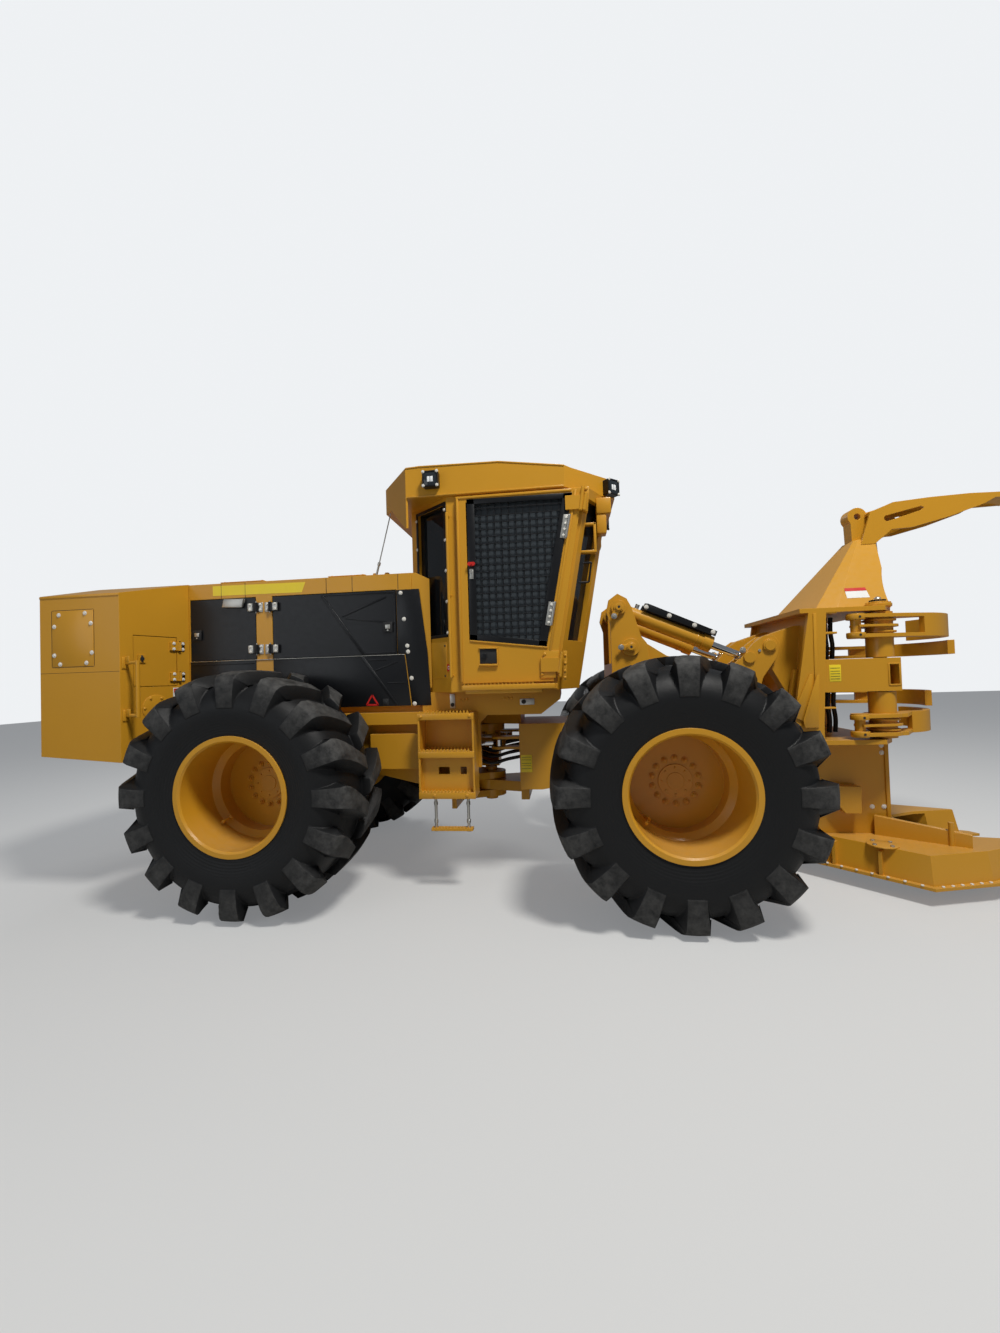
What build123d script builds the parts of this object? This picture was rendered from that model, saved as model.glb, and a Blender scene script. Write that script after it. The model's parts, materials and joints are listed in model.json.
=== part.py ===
from build123d import *
from math import cos, degrees, hypot, pi, radians, sin
import os

# Wheeled feller buncher, millimetres. X runs forward, Y to the machine's left, Z up.
# Every place along X below is measured from the rear axle, and every height from the ground.

# Overall
wheelbase = 3180
tail_reach = 1815
nose_reach = 6250
rear_axle_x = (tail_reach - nose_reach) / 2
pin_fit = 0.3
plate_gap = 6
seat_gap = 0.3

# Tyres and wheels, sizes across the axle counted from the tyre's middle
tyre_radius = 912
tyre_mid = 1112.5
tyre_half_width = 387.5
carcass_radius = 838
shoulder_width = 312
bead_radius = 437
lug_count = 16
lug_width = 112
lug_sweep = 175
rim_half_width = 343
flange_width = 14.5
seat_radius = 406
barrel_wall = 16
disc_depth = 520
disc_wall = 20
step_radius = 345
cap_radius = 122
cap_height = 12
hub_radius = 210

# Axles
axle_z = tyre_radius
axle_bowl_radius = 225
axle_tube_radius = 128
axle_flange_radius = 195
axle_flange_y = 748
spindle_radius = 90
spindle_length = 150
axle_nose_length = 420
axle_nose_radius = 105
axle_pad_half = 150
axle_pad_top = 1200
axle_pad_inner = 330
axle_pad_outer = 540

# Rear frame
hull_half_width = 600
hull_top = 1490
hull_bottom = 970
hull_front = 1450
hull_rear = -930
side_box_half_width = 700
rail_bottom = 1340
rail_top = 1440
cheek_outer = 650
cheek_wall = 30
cheek_bottom = 1400
cab_deck_top = 1600
cab_deck_wall = 80
cab_deck_front = 2360
step_front = 1670
step_rear = 1215
step_outer = 850
step_levels = [(1388, 1434), (1085, 1130), (760, 805)]
hanging_step_z = 500

# Articulation
hinge_x = 1680
hinge_lug_radius = 135
hinge_pin_radius = 55
hinge_lug_wall = 60
upper_lug_z = 1330
lower_lug_z = 720
front_lug_wall = 90

# Steering cylinders
steer_rear_x = 830
steer_rear_y = 400
steer_front_x = 1800
steer_front_y = 300
steer_z = 1130
steer_barrel_length = 590
steer_barrel_radius = 50
steer_rod_radius = 27
steer_eye_radius = 58
steer_pin_radius = 26
steer_eye_wall = 56

# Hood and tail box
hood_half_width = 650
hood_rear = -928
hood_front_top = 1130
hood_front_bottom = 1185
hood_cab_x = 1088
filler_front = 1290
hood_roof_z = 2620
hood_rail_bottom = 2484
hood_wall = 40
door_seam_z = 1930
post_rear = -280
post_front = -130
hood_door_front = 1000
hood_door_wall = 36
tail_half_width = 1200
tail_corner_x = -1100
tail_floor_rear = 1180
tail_floor_front = 1110
tail_roof_edge = 2475
tail_roof_ridge = 2625
tail_door_wall = 24

# Cab
cab_half_width = 800
cab_floor_z = cab_deck_top
cab_top_z = 3190
cab_wall = 45
cab_rear_x = 1100
cab_rear_half = 470
cab_side_rear = 1490
cab_side_front = 2330
cab_front_half = 450
cab_front_chamfer = 190
cab_lean = 290
roof_top = 3452
door_wall = 34
glass_wall = 8

# Front frame and tower
front_hull_half = 400
front_hull_rear = 1990
front_hull_front = 3540
front_hull_bottom = 790
front_hull_top = 1300
tower_rear = 2800
tower_outer = 436
tower_inner = 225
tower_inner_rear = 2835
tower_wall = 36
tower_cross_top = 1800
lift_pin = (2960, 1930)
lift_top_pin = (2870, 2270)
boom_pin_radius = 42
ram_y = 330

# Lift arm and its cylinders
arm_half_gap = 265
arm_outer = 395
ram_rod_pin = (3910, 1812)
head_pin = (4070, 1905)
fork_wall = 34
ram_radius = 62
ram_length = 838
ram_rod_radius = 32
ram_eye_radius = 66
ram_pin_radius = 30
cross_tube = (3330, 1600)
cross_tube_radius = 85

# Tilt cylinders
tilt_y = 150
tilt_foot = (3440, 1500)
tilt_head = (4260, 1050)
tilt_radius = 52
tilt_length = 600
tilt_rod_radius = 27
tilt_eye_radius = 55

# Felling head
head_half_width = 620
head_deck_z = 2135
head_deck_wall = 36
arm_pin_x = 4860
arm_pin_y = 500
arm_pin_radius = 45
arm_hub_radius = 92
pocket_x = 5020
tine_wall = 45
saw_x = 5120
saw_radius = 675
saw_z = 190
saw_wall = 32
tooth_count = 18
housing_top = 345
housing_bottom = 118
housing_wall = 24
horn_z = 3080
horn_half_width = 150
horn_wall = 22


def side(y):
    """Sketch plane at y, drawn as seen from the machine's right, extruding to the right"""
    return Plane(origin=(rear_axle_x, y, 0), x_dir=(1, 0, 0), z_dir=(0, -1, 0))


def level(z):
    """Sketch plane at height z, drawn in plan, extruding up"""
    return Plane(origin=(rear_axle_x, 0, z), x_dir=(1, 0, 0), z_dir=(0, 0, 1))


def across(x):
    """Sketch plane square to the machine at x, drawn as y and z, extruding forward"""
    return Plane(origin=(rear_axle_x + x, 0, 0), x_dir=(0, 1, 0), z_dir=(1, 0, 0))


def outline(plane, points, depth, mode, corner):
    """Closed outline on a plane, with rounded corners where asked, extruded by depth"""
    with BuildSketch(plane) as shape:
        with BuildLine():
            Polyline(*points, close=True)
        make_face()
        if corner:
            fillet(shape.vertices(), corner)
    extrude(shape.sketch, amount=depth, mode=mode)


def plate(points, inner, outer, mode=Mode.ADD, corner=0):
    """Upright plate on the right-hand side, from y = -inner out to y = -outer"""
    outline(side(-inner), points, outer - inner, mode, corner)


def slab(points, bottom, top, mode=Mode.ADD, corner=0):
    """Level plate cut to a plan outline"""
    outline(level(bottom), points, top - bottom, mode, corner)


def wall(points, rear, front, mode=Mode.ADD, corner=0):
    """Plate square to the machine"""
    outline(across(rear), points, front - rear, mode, corner)


def block(x0, x1, y0, y1, z0, z1, mode=Mode.ADD):
    """Plain box between two corners"""
    middle = (rear_axle_x + (x0 + x1) / 2, (y0 + y1) / 2, (z0 + z1) / 2)
    with Locations(middle):
        Box(x1 - x0, y1 - y0, z1 - z0, mode=mode)


def boss(x, z, radius, inner, outer, mode=Mode.ADD):
    """Round boss or bore along Y on the right-hand side"""
    with BuildSketch(side(-inner)) as ring:
        with Locations((x, z)):
            Circle(radius)
    extrude(ring.sketch, amount=outer - inner, mode=mode)


def post(x, y, radius, bottom, top, mode=Mode.ADD):
    """Upright round boss or bore"""
    with BuildSketch(level(bottom)) as ring:
        with Locations((x, y)):
            Circle(radius)
    extrude(ring.sketch, amount=top - bottom, mode=mode)


def bar(start, end, radius, mode=Mode.ADD):
    """Round bar between two points"""
    first = Vector(rear_axle_x + start[0], start[1], start[2])
    last = Vector(rear_axle_x + end[0], end[1], end[2])
    with BuildSketch(Plane(origin=first, z_dir=last - first)) as ring:
        Circle(radius)
    extrude(ring.sketch, amount=(last - first).length, mode=mode)


def along(start, end, distance):
    """Point at a distance from start towards end, in a side or plan view"""
    reach = hypot(end[0] - start[0], end[1] - start[1])
    share = distance / reach
    return (start[0] + (end[0] - start[0]) * share, start[1] + (end[1] - start[1]) * share)


def save(name, builder):
    builder.part.label = name
    export_step(builder.part, f"parts/{name}.step")


os.makedirs("parts", exist_ok=True)

# Tyres, faceted round the axle so that every lug meets flat faces
facet_count = 28
facet_share = cos(pi / facet_count)


def ring_section(y, radius, sides, turn):
    """Regular polygon round the axle, square to it at a distance y"""
    with BuildSketch(Plane(origin=(0, y, 0), x_dir=(1, 0, 0), z_dir=(0, 1, 0))) as ring:
        RegularPolygon(radius, sides, rotation=turn)
    return ring.sketch


def ring_body(rows, mode=Mode.ADD, sides=facet_count, turn=0):
    """Body through sections given as distance from the tyre's middle and radius"""
    loft([ring_section(y, radius, sides, turn) for y, radius in rows], ruled=True, mode=mode)


# Columns: distance from the tyre's middle, radius
carcass_half = [(tyre_half_width, 645), (shoulder_width, carcass_radius)]
with BuildPart() as carcass:
    ring_body(carcass_half + [(-y, r) for y, r in reversed(carcass_half)])
    for hand in (-1, 1):
        ring_body(
            [(hand * rim_half_width, bead_radius + 20), (hand * (tyre_half_width + 0.5), 620)],
            Mode.SUBTRACT,
        )
    ring_body(
        [
            (-tyre_half_width - 5, (seat_radius + seat_gap) / facet_share),
            (tyre_half_width + 5, (seat_radius + seat_gap) / facet_share),
        ],
        Mode.SUBTRACT,
    )

# Outer limits of the lugs, from the sidewall over the shoulder to the crown. Each lug's top is one
# flat, centred on the lug, whose ends reach the tyre's radius.
lug_lead = degrees((lug_sweep + lug_width / 2) / tyre_radius)
lug_trail = degrees(lug_width / 2 / tyre_radius)
lug_middle = (lug_lead - lug_trail) / 2
lug_flat = cos(radians((lug_lead + lug_trail) / 2)) / cos(pi / lug_count)
lug_half = [(-392, 862), (0, tyre_radius)]
with BuildPart() as lug:
    ring_body(
        [(y, r * lug_flat) for y, r in lug_half],
        sides=lug_count, turn=lug_middle - 90 - 180 / lug_count,
    )
    # In plan each lug runs in from the shoulder and sweeps forward to the tyre's middle
    with BuildSketch(Plane.XY.offset(690)):
        with BuildLine():
            Polyline(
                (-lug_width / 2, -400),
                (lug_width / 2, -400),
                (lug_sweep + lug_width / 2, 0),
                (lug_sweep - lug_width / 2, 0),
                close=True,
            )
        make_face()
    extrude(amount=400, mode=Mode.INTERSECT)

lug_pitch = 360 / lug_count
right_lugs = [lug.part.rotate(Axis.Y, i * lug_pitch) for i in range(lug_count)]
left_lug = lug.part.mirror(Plane.XZ)
left_lugs = [left_lug.rotate(Axis.Y, (i + 0.5) * lug_pitch) for i in range(lug_count)]

with BuildPart() as tyre_right:
    add(carcass.part)
    add(right_lugs + left_lugs)

# Wheel disc, stepped barrel and hub, section as distance outward from the tyre's middle and radius
flange_face = rim_half_width + flange_width
disc_face = flange_face - disc_depth
barrel_bore = seat_radius - barrel_wall
hub_face = tyre_mid - axle_flange_y - 9
spindle_bore_end = tyre_mid - axle_flange_y - spindle_length - 2
rim_section = [
    (flange_face, barrel_bore + 12),
    (flange_face, bead_radius),
    (rim_half_width, bead_radius),
    (rim_half_width, seat_radius),
    (-rim_half_width, seat_radius),
    (-rim_half_width, bead_radius),
    (-flange_face, bead_radius),
    (-flange_face, barrel_bore),
    (-40, barrel_bore),
    (-75, step_radius + 12),
    (disc_face - disc_wall, step_radius + 12),
    (disc_face - disc_wall, hub_radius),
    (-hub_face, hub_radius),
    (-hub_face, spindle_radius + pin_fit),
    (-spindle_bore_end, spindle_radius + pin_fit),
    (-spindle_bore_end, 0),
    (disc_face + cap_height, 0),
    (disc_face + cap_height, cap_radius),
    (disc_face, cap_radius),
    (disc_face, step_radius),
    (-40, step_radius),
    (0, barrel_bore),
    (rim_half_width, barrel_bore),
]

with BuildPart() as wheel_right:
    with BuildSketch(Plane.YZ):
        with BuildLine():
            Polyline(*[(-a, r) for a, r in rim_section], close=True)
        make_face()
    revolve(axis=Axis.Y)

# Columns of the wheel table: node ending, place along X, side (+1 left, -1 right)
wheel_places = [
    ("rear_right", 0, -1),
    ("rear_left", 0, 1),
    ("front_right", wheelbase, -1),
    ("front_left", wheelbase, 1),
]
for ending, x, hand in wheel_places:
    place = Location((rear_axle_x + x, hand * tyre_mid, axle_z))
    for kind, pattern in (("tyre", tyre_right), ("wheel", wheel_right)):
        shape = pattern.part if hand < 0 else pattern.part.mirror(Plane.XZ)
        with BuildPart() as piece:
            add(shape.moved(place))
        save(f"{kind}_{ending}", piece)

# Axle housings: bowl, tapered tubes, flanges, spindles, drive nose and the pads that carry the frame
axle_section = [
    (0, 0),
    (0, axle_bowl_radius),
    (110, axle_bowl_radius),
    (260, axle_tube_radius + 14),
    (axle_flange_y - 70, axle_tube_radius),
    (axle_flange_y - 60, axle_flange_radius),
    (axle_flange_y, axle_flange_radius),
    (axle_flange_y, spindle_radius),
    (axle_flange_y + spindle_length, spindle_radius),
    (axle_flange_y + spindle_length, 0),
]
for name, x, nose in (("rear_axle", 0, 1), ("front_axle", wheelbase, -1)):
    with BuildPart() as axle:
        with BuildSketch(across(x)):
            with BuildLine():
                Polyline(*[(-a, axle_z + r) for a, r in axle_section], close=True)
            make_face()
        revolve(axis=Axis((rear_axle_x + x, 0, axle_z), (0, 1, 0)))
        for y0, y1 in ((-axle_pad_outer, -axle_pad_inner),):
            block(x - axle_pad_half, x + axle_pad_half, y0, y1, axle_z, axle_pad_top)
        mirror(about=Plane.XZ)
        bar((x, 0, axle_z), (x + nose * axle_nose_length, 0, axle_z), axle_nose_radius)
    save(name, axle)

# Rear frame: hull, side boxes and rails, cab cheeks and deck, hinge lugs
hull_side = [
    (hull_rear, hull_top),
    (hull_rear, hull_bottom + 120),
    (-axle_pad_half - 230, hull_bottom + 120),
    (-axle_pad_half - 130, axle_pad_top),
    (axle_pad_half + 130, axle_pad_top),
    (axle_pad_half + 200, hull_bottom + 90),
    (axle_pad_half + 390, hull_bottom),
    (hull_front - 120, hull_bottom - 190),
    (hull_front, hull_bottom - 190),
    (hull_front, hull_top),
]
cheek_side = [
    (step_rear - 10, cab_deck_top),
    (step_rear - 10, hull_bottom),
    (step_front + 25, hull_bottom),
    (step_front + 25, cheek_bottom - 60),
    (step_front + 85, cheek_bottom),
    (cab_deck_front - 160, cheek_bottom),
    (cab_deck_front, cab_deck_top - cab_deck_wall),
    (cab_deck_front, cab_deck_top),
]
# Undersides of the rear half's four hinge lugs, two round each front lug
rear_lugs = [
    upper_lug_z + front_lug_wall / 2 + plate_gap,
    upper_lug_z - front_lug_wall / 2 - plate_gap - hinge_lug_wall,
    lower_lug_z + front_lug_wall / 2 + plate_gap,
    lower_lug_z - front_lug_wall / 2 - plate_gap - hinge_lug_wall,
]
with BuildPart() as rear_frame:
    plate(hull_side, -hull_half_width, hull_half_width)
    plate(cheek_side, cheek_outer - cheek_wall, cheek_outer)
    block(step_rear - 10, hull_front, -cheek_outer, -hull_half_width, hull_bottom, rail_bottom)
    block(760, step_rear - 10, -side_box_half_width, -hull_half_width, hull_bottom, 1262)
    block(-600, step_rear + 30, -cheek_outer, -hull_half_width, rail_bottom, rail_top)
    block(-600, step_rear - 10, -side_box_half_width, -cheek_outer, rail_bottom, rail_top)
    mirror(about=Plane.XZ)
    block(hull_front - 250, hull_front, -hull_half_width, hull_half_width, hull_top, cab_deck_top)
    block(
        hull_front, cab_deck_front, -cheek_outer + cheek_wall, cheek_outer - cheek_wall,
        cab_deck_top - cab_deck_wall, cab_deck_top,
    )
    for z in rear_lugs:
        slab(
            [
                (hull_front - 20, -260), (hinge_x, -hinge_lug_radius),
                (hinge_x, hinge_lug_radius), (hull_front - 20, 260),
            ],
            z, z + hinge_lug_wall,
        )
        post(hinge_x, 0, hinge_lug_radius, z, z + hinge_lug_wall)
    block(hull_front - 40, hull_front, -hull_half_width + 60, hull_half_width - 60, 600, hull_bottom - 150)
    for z in (upper_lug_z, lower_lug_z):
        post(hinge_x, 0, hinge_pin_radius, z - 150, z + 150)
    # Steering cylinder feet
    for y in (-steer_rear_y, steer_rear_y):
        block(
            steer_rear_x - 150, hull_front + 5, y - 175, y + 175,
            steer_z - 110, steer_z + 110, Mode.SUBTRACT,
        )
        for z in (steer_z - steer_eye_wall / 2 - plate_gap - 20, steer_z + steer_eye_wall / 2 + plate_gap):
            block(steer_rear_x - 150, steer_rear_x + 60, y - 60, y + 60, z, z + 20)
        post(steer_rear_x, y, steer_pin_radius, steer_z - 60, steer_z + 60)
save("rear_frame", rear_frame)

# Boarding steps: side box with three treads, and the hanging tread on two cables
with BuildPart() as steps:
    for z0, z1 in step_levels:
        block(step_rear, step_front, -step_outer, -cheek_outer - seat_gap, z0, z1)
    block(
        step_front - 14, step_front, -step_outer,
        -cheek_outer - seat_gap, step_levels[2][0], step_levels[0][1],
    )
    block(
        step_rear, step_rear + 14, -step_outer,
        -cheek_outer - seat_gap, step_levels[2][0], step_levels[0][1],
    )
    block(step_rear, step_front, -step_outer + 60, -step_outer + 72, step_levels[2][1], step_levels[1][0])
    for x0, x1 in ((step_rear + 150, step_rear + 240), (step_rear + 330, step_rear + 380)):
        block(x0, x1, -step_outer, -cheek_outer - 40, 940, 1000, Mode.SUBTRACT)
    block(
        step_rear + 90, step_front - 30, -step_outer + 5,
        -step_outer + 65, hanging_step_z, hanging_step_z + 22,
    )
    for x in (step_rear + 125, step_front - 65):
        bar((x, -step_outer + 35, hanging_step_z + 20), (x, -step_outer + 35, step_levels[2][0] + 5), 9)
    mirror(about=Plane.XZ)
save("steps", steps)

# Engine, one plain block on its mounts
with BuildPart() as engine:
    block(-620, 760, -330, 330, hull_top, 2330)
save("engine_block", engine)

# Hood: roof with rolled rails, ends, door posts and lower side panels
cab_room = [
    (hood_cab_x, -470),
    (hood_cab_x + 236, -670),
    (1700, -670),
    (1700, 670),
    (hood_cab_x + 236, 670),
    (hood_cab_x, 470),
]
with BuildPart() as hood:
    roof = [
        (hood_rear, hull_top),
        (hood_front_bottom, hull_top),
        (hood_front_top, hood_roof_z),
        (hood_rear, hood_roof_z),
    ]
    plate(roof, -hood_half_width, hood_half_width)
    block(
        hood_rear + hood_wall, hood_cab_x - hood_wall,
        -hood_half_width + hood_wall, hood_half_width - hood_wall,
        hull_top - 10, hood_roof_z - hood_wall, Mode.SUBTRACT,
    )
    # Slanted filler strips that close the gap to the cab's rear corners
    filler = [
        (hood_front_bottom + seat_gap, cab_deck_top + 40),
        (filler_front, cab_deck_top + 40),
        (filler_front, hood_roof_z - 60),
        (hood_front_top + 40, hood_roof_z),
        (hood_front_top + seat_gap, hood_roof_z),
    ]
    plate(filler, hood_half_width - 50, hood_half_width - 6)
    plate(filler, -hood_half_width + 6, -hood_half_width + 50)
    # Room for the cab's rear wall and corners
    slab(cab_room, hull_top - 10, hood_roof_z + 10, Mode.SUBTRACT)
    for x0, x1 in ((hood_rear + 14, post_rear), (post_front, hood_door_front)):
        block(
            x0, x1, -hood_half_width - 5, hood_half_width + 5,
            door_seam_z, hood_rail_bottom, Mode.SUBTRACT,
        )
    # Raised covers and lifting eyes on the roof
    for x0, x1, y in ((-720, -330, -300), (330, 640, -300)):
        block(x0, x1, y - 160, y + 160, hood_roof_z, hood_roof_z + 34)
    mirror(about=Plane.XZ)
    for x in (690, 800):
        eye = [
            (x, hood_roof_z - 5), (x + 90, hood_roof_z - 5),
            (x + 60, hood_roof_z + 62), (x + 30, hood_roof_z + 62),
        ]
        plate(eye, 406, 430)
        boss(x + 45, hood_roof_z + 34, 16, 400, 436, Mode.SUBTRACT)
save("hood", hood)

# Hood doors, two a side, hinged at the post between them
door_bottom = door_seam_z + 6
door_top = hood_rail_bottom - 6
# Columns: name, hinge edge, free edge
hood_doors = [
    ("rear", post_rear, hood_rear + 20),
    ("front", post_front, hood_door_front - 6),
]
hinge_barrel_radius = 14
for name, hinge_edge, free_edge in hood_doors:
    forward = 1 if free_edge > hinge_edge else -1
    near = hinge_edge + forward * 6
    with BuildPart() as door_right:
        block(
            min(near, free_edge), max(near, free_edge), -hood_half_width,
            -hood_half_width + hood_door_wall, door_bottom, door_top,
        )
        knuckle_y = -hood_half_width - hinge_barrel_radius - 4
        for z in (2020, 2390):
            x = hinge_edge - forward * 12
            bar((x, knuckle_y, z - 40), (x, knuckle_y, z + 40), hinge_barrel_radius)
            block(
                min(x, near + forward * 60), max(x, near + forward * 60),
                knuckle_y - 6, -hood_half_width, z - 36, z + 36,
            )
        latch = free_edge - forward * 70
        block(latch - 28, latch + 28, -hood_half_width - 12, -hood_half_width, 2130, 2200)
    save(f"hood_door_{name}_right", door_right)
    with BuildPart() as door_left:
        add(door_right.part.mirror(Plane.XZ))
    save(f"hood_door_{name}_left", door_left)

# Tail box: wide rear corners, sloping floor and roof, a service recess in each forward face
tail_plan = [
    (-tail_reach, -tail_half_width),
    (tail_corner_x, -tail_half_width),
    (hull_rear - seat_gap, -hood_half_width),
    (hull_rear - seat_gap, hood_half_width),
    (tail_corner_x, tail_half_width),
    (-tail_reach, tail_half_width),
]
tail_roof = [
    (-tail_half_width - 5, tail_roof_edge),
    (-hood_half_width, tail_roof_ridge),
    (hood_half_width, tail_roof_ridge),
    (tail_half_width + 5, tail_roof_edge),
    (tail_half_width + 5, tail_roof_ridge + 50),
    (-tail_half_width - 5, tail_roof_ridge + 50),
]
tail_floor = [
    (-tail_reach - 5, tail_floor_front - 20),
    (hull_rear + 5, tail_floor_front - 20),
    (hull_rear + 5, tail_floor_front),
    (-tail_reach - 5, tail_floor_rear),
]
# The forward face on the right: its plane runs outward from the hood's corner
face_run = Vector(tail_corner_x - hull_rear, hood_half_width - tail_half_width, 0)
face_out = Vector(face_run.Y * -1, face_run.X, 0)
face_plane = Plane(
    origin=(rear_axle_x + hull_rear, -hood_half_width, 0),
    x_dir=face_run.normalized(),
    z_dir=face_out.normalized(),
)
tail_door_inner = 115
tail_door_outer = face_run.length - 106
tail_bar_u = face_run.length - 46
tail_bar_reach = 150
tail_door_bottom = 1725
tail_door_top = 2140


def face_box(u0, u1, z0, z1, depth0, depth1, mode=Mode.ADD):
    """Box on the tail box's forward face, u outward from the hood's corner, depth out of the face"""
    height = -1 if face_plane.y_dir.Z < 0 else 1
    with BuildSketch(face_plane.offset(depth0)) as shape:
        with Locations(((u0 + u1) / 2, height * (z0 + z1) / 2)):
            Rectangle(u1 - u0, z1 - z0)
    extrude(shape.sketch, amount=depth1 - depth0, mode=mode)


def face_point(u, z, depth):
    """Point on that face, counted from the rear axle"""
    spot = face_plane.origin + face_plane.x_dir * u + face_plane.z_dir * depth
    return (spot.X - rear_axle_x, spot.Y, z)


with BuildPart() as tail_box:
    slab(tail_plan, tail_floor_front, tail_roof_ridge)
    wall(tail_roof, -tail_reach - 5, hull_rear + 5, Mode.SUBTRACT)
    plate(tail_floor, -tail_half_width - 5, tail_half_width + 5, Mode.SUBTRACT)
    face_box(
        tail_door_inner - 5, tail_door_outer + 5, tail_door_bottom - 5,
        tail_door_top + 5, -280, 40, Mode.SUBTRACT,
    )
    right_recess = tail_box.part
with BuildPart() as tail_box:
    add(right_recess)
    add(right_recess.mirror(Plane.XZ), mode=Mode.INTERSECT)
save("tail_box", tail_box)

knuckle_u = tail_door_inner - 22
knuckle_out = 13 + seat_gap
with BuildPart() as tail_door_right:
    face_box(tail_door_inner, tail_door_outer, tail_door_bottom, tail_door_top, -tail_door_wall - 4, -4)
    for z in (tail_door_bottom + 75, tail_door_top - 75):
        bar(face_point(knuckle_u, z - 38, knuckle_out), face_point(knuckle_u, z + 38, knuckle_out), 13)
        face_box(knuckle_u, tail_door_inner + 60, z - 36, z + 36, 5, 13)
        face_box(tail_door_inner + 10, tail_door_inner + 60, z - 36, z + 36, -6, 7)
    latch_z = (tail_door_bottom + tail_door_top) / 2 + 20
    face_box(tail_door_outer - 90, tail_door_outer - 30, latch_z - 32, latch_z + 32, -6, 8)
save("tail_door_right", tail_door_right)
with BuildPart() as tail_door_left:
    add(tail_door_right.part.mirror(Plane.XZ))
save("tail_door_left", tail_door_left)


# Cab
def lean_at(z):
    """How far the front of the cab has moved forward at a height"""
    return cab_lean * (z - cab_floor_z) / (cab_top_z - cab_floor_z)


def cab_plan(inset, z):
    """Right-hand half of the cab's plan from rear to front, moved in from the outer face"""
    corner = inset * 0.42
    front = cab_side_front + cab_front_chamfer + lean_at(z)
    return [
        (cab_rear_x + inset, -cab_rear_half + corner),
        (cab_side_rear + corner, -cab_half_width + inset),
        (cab_side_front + lean_at(z) - corner, -cab_half_width + inset),
        (front - inset, -cab_front_half + corner),
    ]


def cab_hull(inset, bottom, top, mode=Mode.ADD):
    """Cab body between two heights"""
    faces = []
    for z in (bottom, top):
        right = cab_plan(inset, z)
        points = right + [(x, -y) for x, y in reversed(right)]
        with BuildSketch(level(z)) as section:
            with BuildLine():
                Polyline(*points, close=True)
            make_face()
        faces.append(section.sketch)
    loft(faces, ruled=True, mode=mode)


side_window = [(1655, 2017), (2262, 1954), (2500, 3120), (1655, 3120)]
door_outline = [
    (1575, 1668),
    (cab_side_front + lean_at(1668) - 25, 1668),
    (cab_side_front + lean_at(3172) - 25, 3172),
    (1575, 3172),
]
door_opening = [
    (1612, 1712),
    (cab_side_front + lean_at(1712) - 60, 1712),
    (cab_side_front + lean_at(3140) - 60, 3140),
    (1612, 3140),
]
front_window = [(-395, 2010), (395, 2010), (395, 3110), (-395, 3110)]
rear_window = [(-395, 2720), (395, 2720), (395, 3110), (-395, 3110)]


def corner_plane(start, end):
    """Upright plane through two plan points on the right-hand side, facing outward"""
    run = Vector(end[0] - start[0], end[1] - start[1], 0).normalized()
    out = Vector(run.Y, -run.X, 0)
    return Plane(origin=(rear_axle_x + start[0], start[1], 0), x_dir=run, z_dir=out)


rear_corner = corner_plane((cab_rear_x, -cab_rear_half), (cab_side_rear, -cab_half_width))
front_corner = corner_plane(
    (cab_side_front, -cab_half_width), (cab_side_front + cab_front_chamfer, -cab_front_half)
)
front_corner_run = hypot(cab_front_chamfer, cab_half_width - cab_front_half)
lean_share = cab_front_chamfer / front_corner_run
rear_corner_run = hypot(cab_side_rear - cab_rear_x, cab_half_width - cab_rear_half)
rear_corner_window = [(75, 2055), (rear_corner_run - 32, 2055), (rear_corner_run - 32, 3150), (75, 3150)]
front_corner_window = []
for u, z in ((70, 1990), (front_corner_run - 70, 1990), (front_corner_run - 70, 3110), (70, 3110)):
    front_corner_window.append((u + lean_at(z) * lean_share, z))


def corner_cut(plane, points, depth, grow, mode):
    """Window cut square through a cab corner, with the mirrored one on the left"""
    with BuildSketch(plane.offset(-depth)) as shape:
        with BuildLine():
            Polyline(*points, close=True)
        make_face()
        if grow:
            offset(amount=grow, kind=Kind.INTERSECTION)
    cutter = extrude(shape.sketch, amount=depth + 320, mode=Mode.PRIVATE)
    add([cutter, cutter.mirror(Plane.XZ)], mode=mode)


def cab_openings(grow, mode, with_door):
    """All window openings of the shell, or their panes grown by a margin"""
    for plane, points, corners in (
        (rear_corner, rear_corner_window, True),
        (front_corner, front_corner_window, True),
    ):
        corner_cut(plane, points, 120, grow, mode)
    with BuildSketch(across(cab_rear_x - 100)) as rear_pane:
        with BuildLine():
            Polyline(*rear_window, close=True)
        make_face()
        if grow:
            offset(amount=grow, kind=Kind.INTERSECTION)
    extrude(rear_pane.sketch, amount=300, mode=mode)
    with BuildSketch(across(cab_side_front)) as front_pane:
        with BuildLine():
            Polyline(*front_window, close=True)
        make_face()
        if grow:
            offset(amount=grow, kind=Kind.INTERSECTION)
    extrude(front_pane.sketch, amount=700, mode=mode)
    with BuildSketch(side(cab_half_width + 60)) as left_pane:
        with BuildLine():
            Polyline(*side_window, close=True)
        make_face()
        if grow:
            offset(amount=grow, kind=Kind.INTERSECTION)
    extrude(left_pane.sketch, amount=160, mode=mode)
    if with_door:
        plate(door_opening, cab_half_width - 100, cab_half_width + 60, mode)


with BuildPart() as cab_shell:
    cab_hull(0, cab_floor_z, cab_top_z)
    cab_hull(cab_wall, cab_floor_z + cab_wall, cab_top_z + 5, Mode.SUBTRACT)
    cab_openings(0, Mode.SUBTRACT, True)
    # Door sill tread on the right, front lower corner plates, hinge lugs beside the door's knuckles
    block(
        1585, cab_side_front + 15, -cab_half_width - 48,
        -cab_half_width, cab_floor_z + 10, cab_floor_z + 52,
    )
save("cab_shell", cab_shell)

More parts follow.
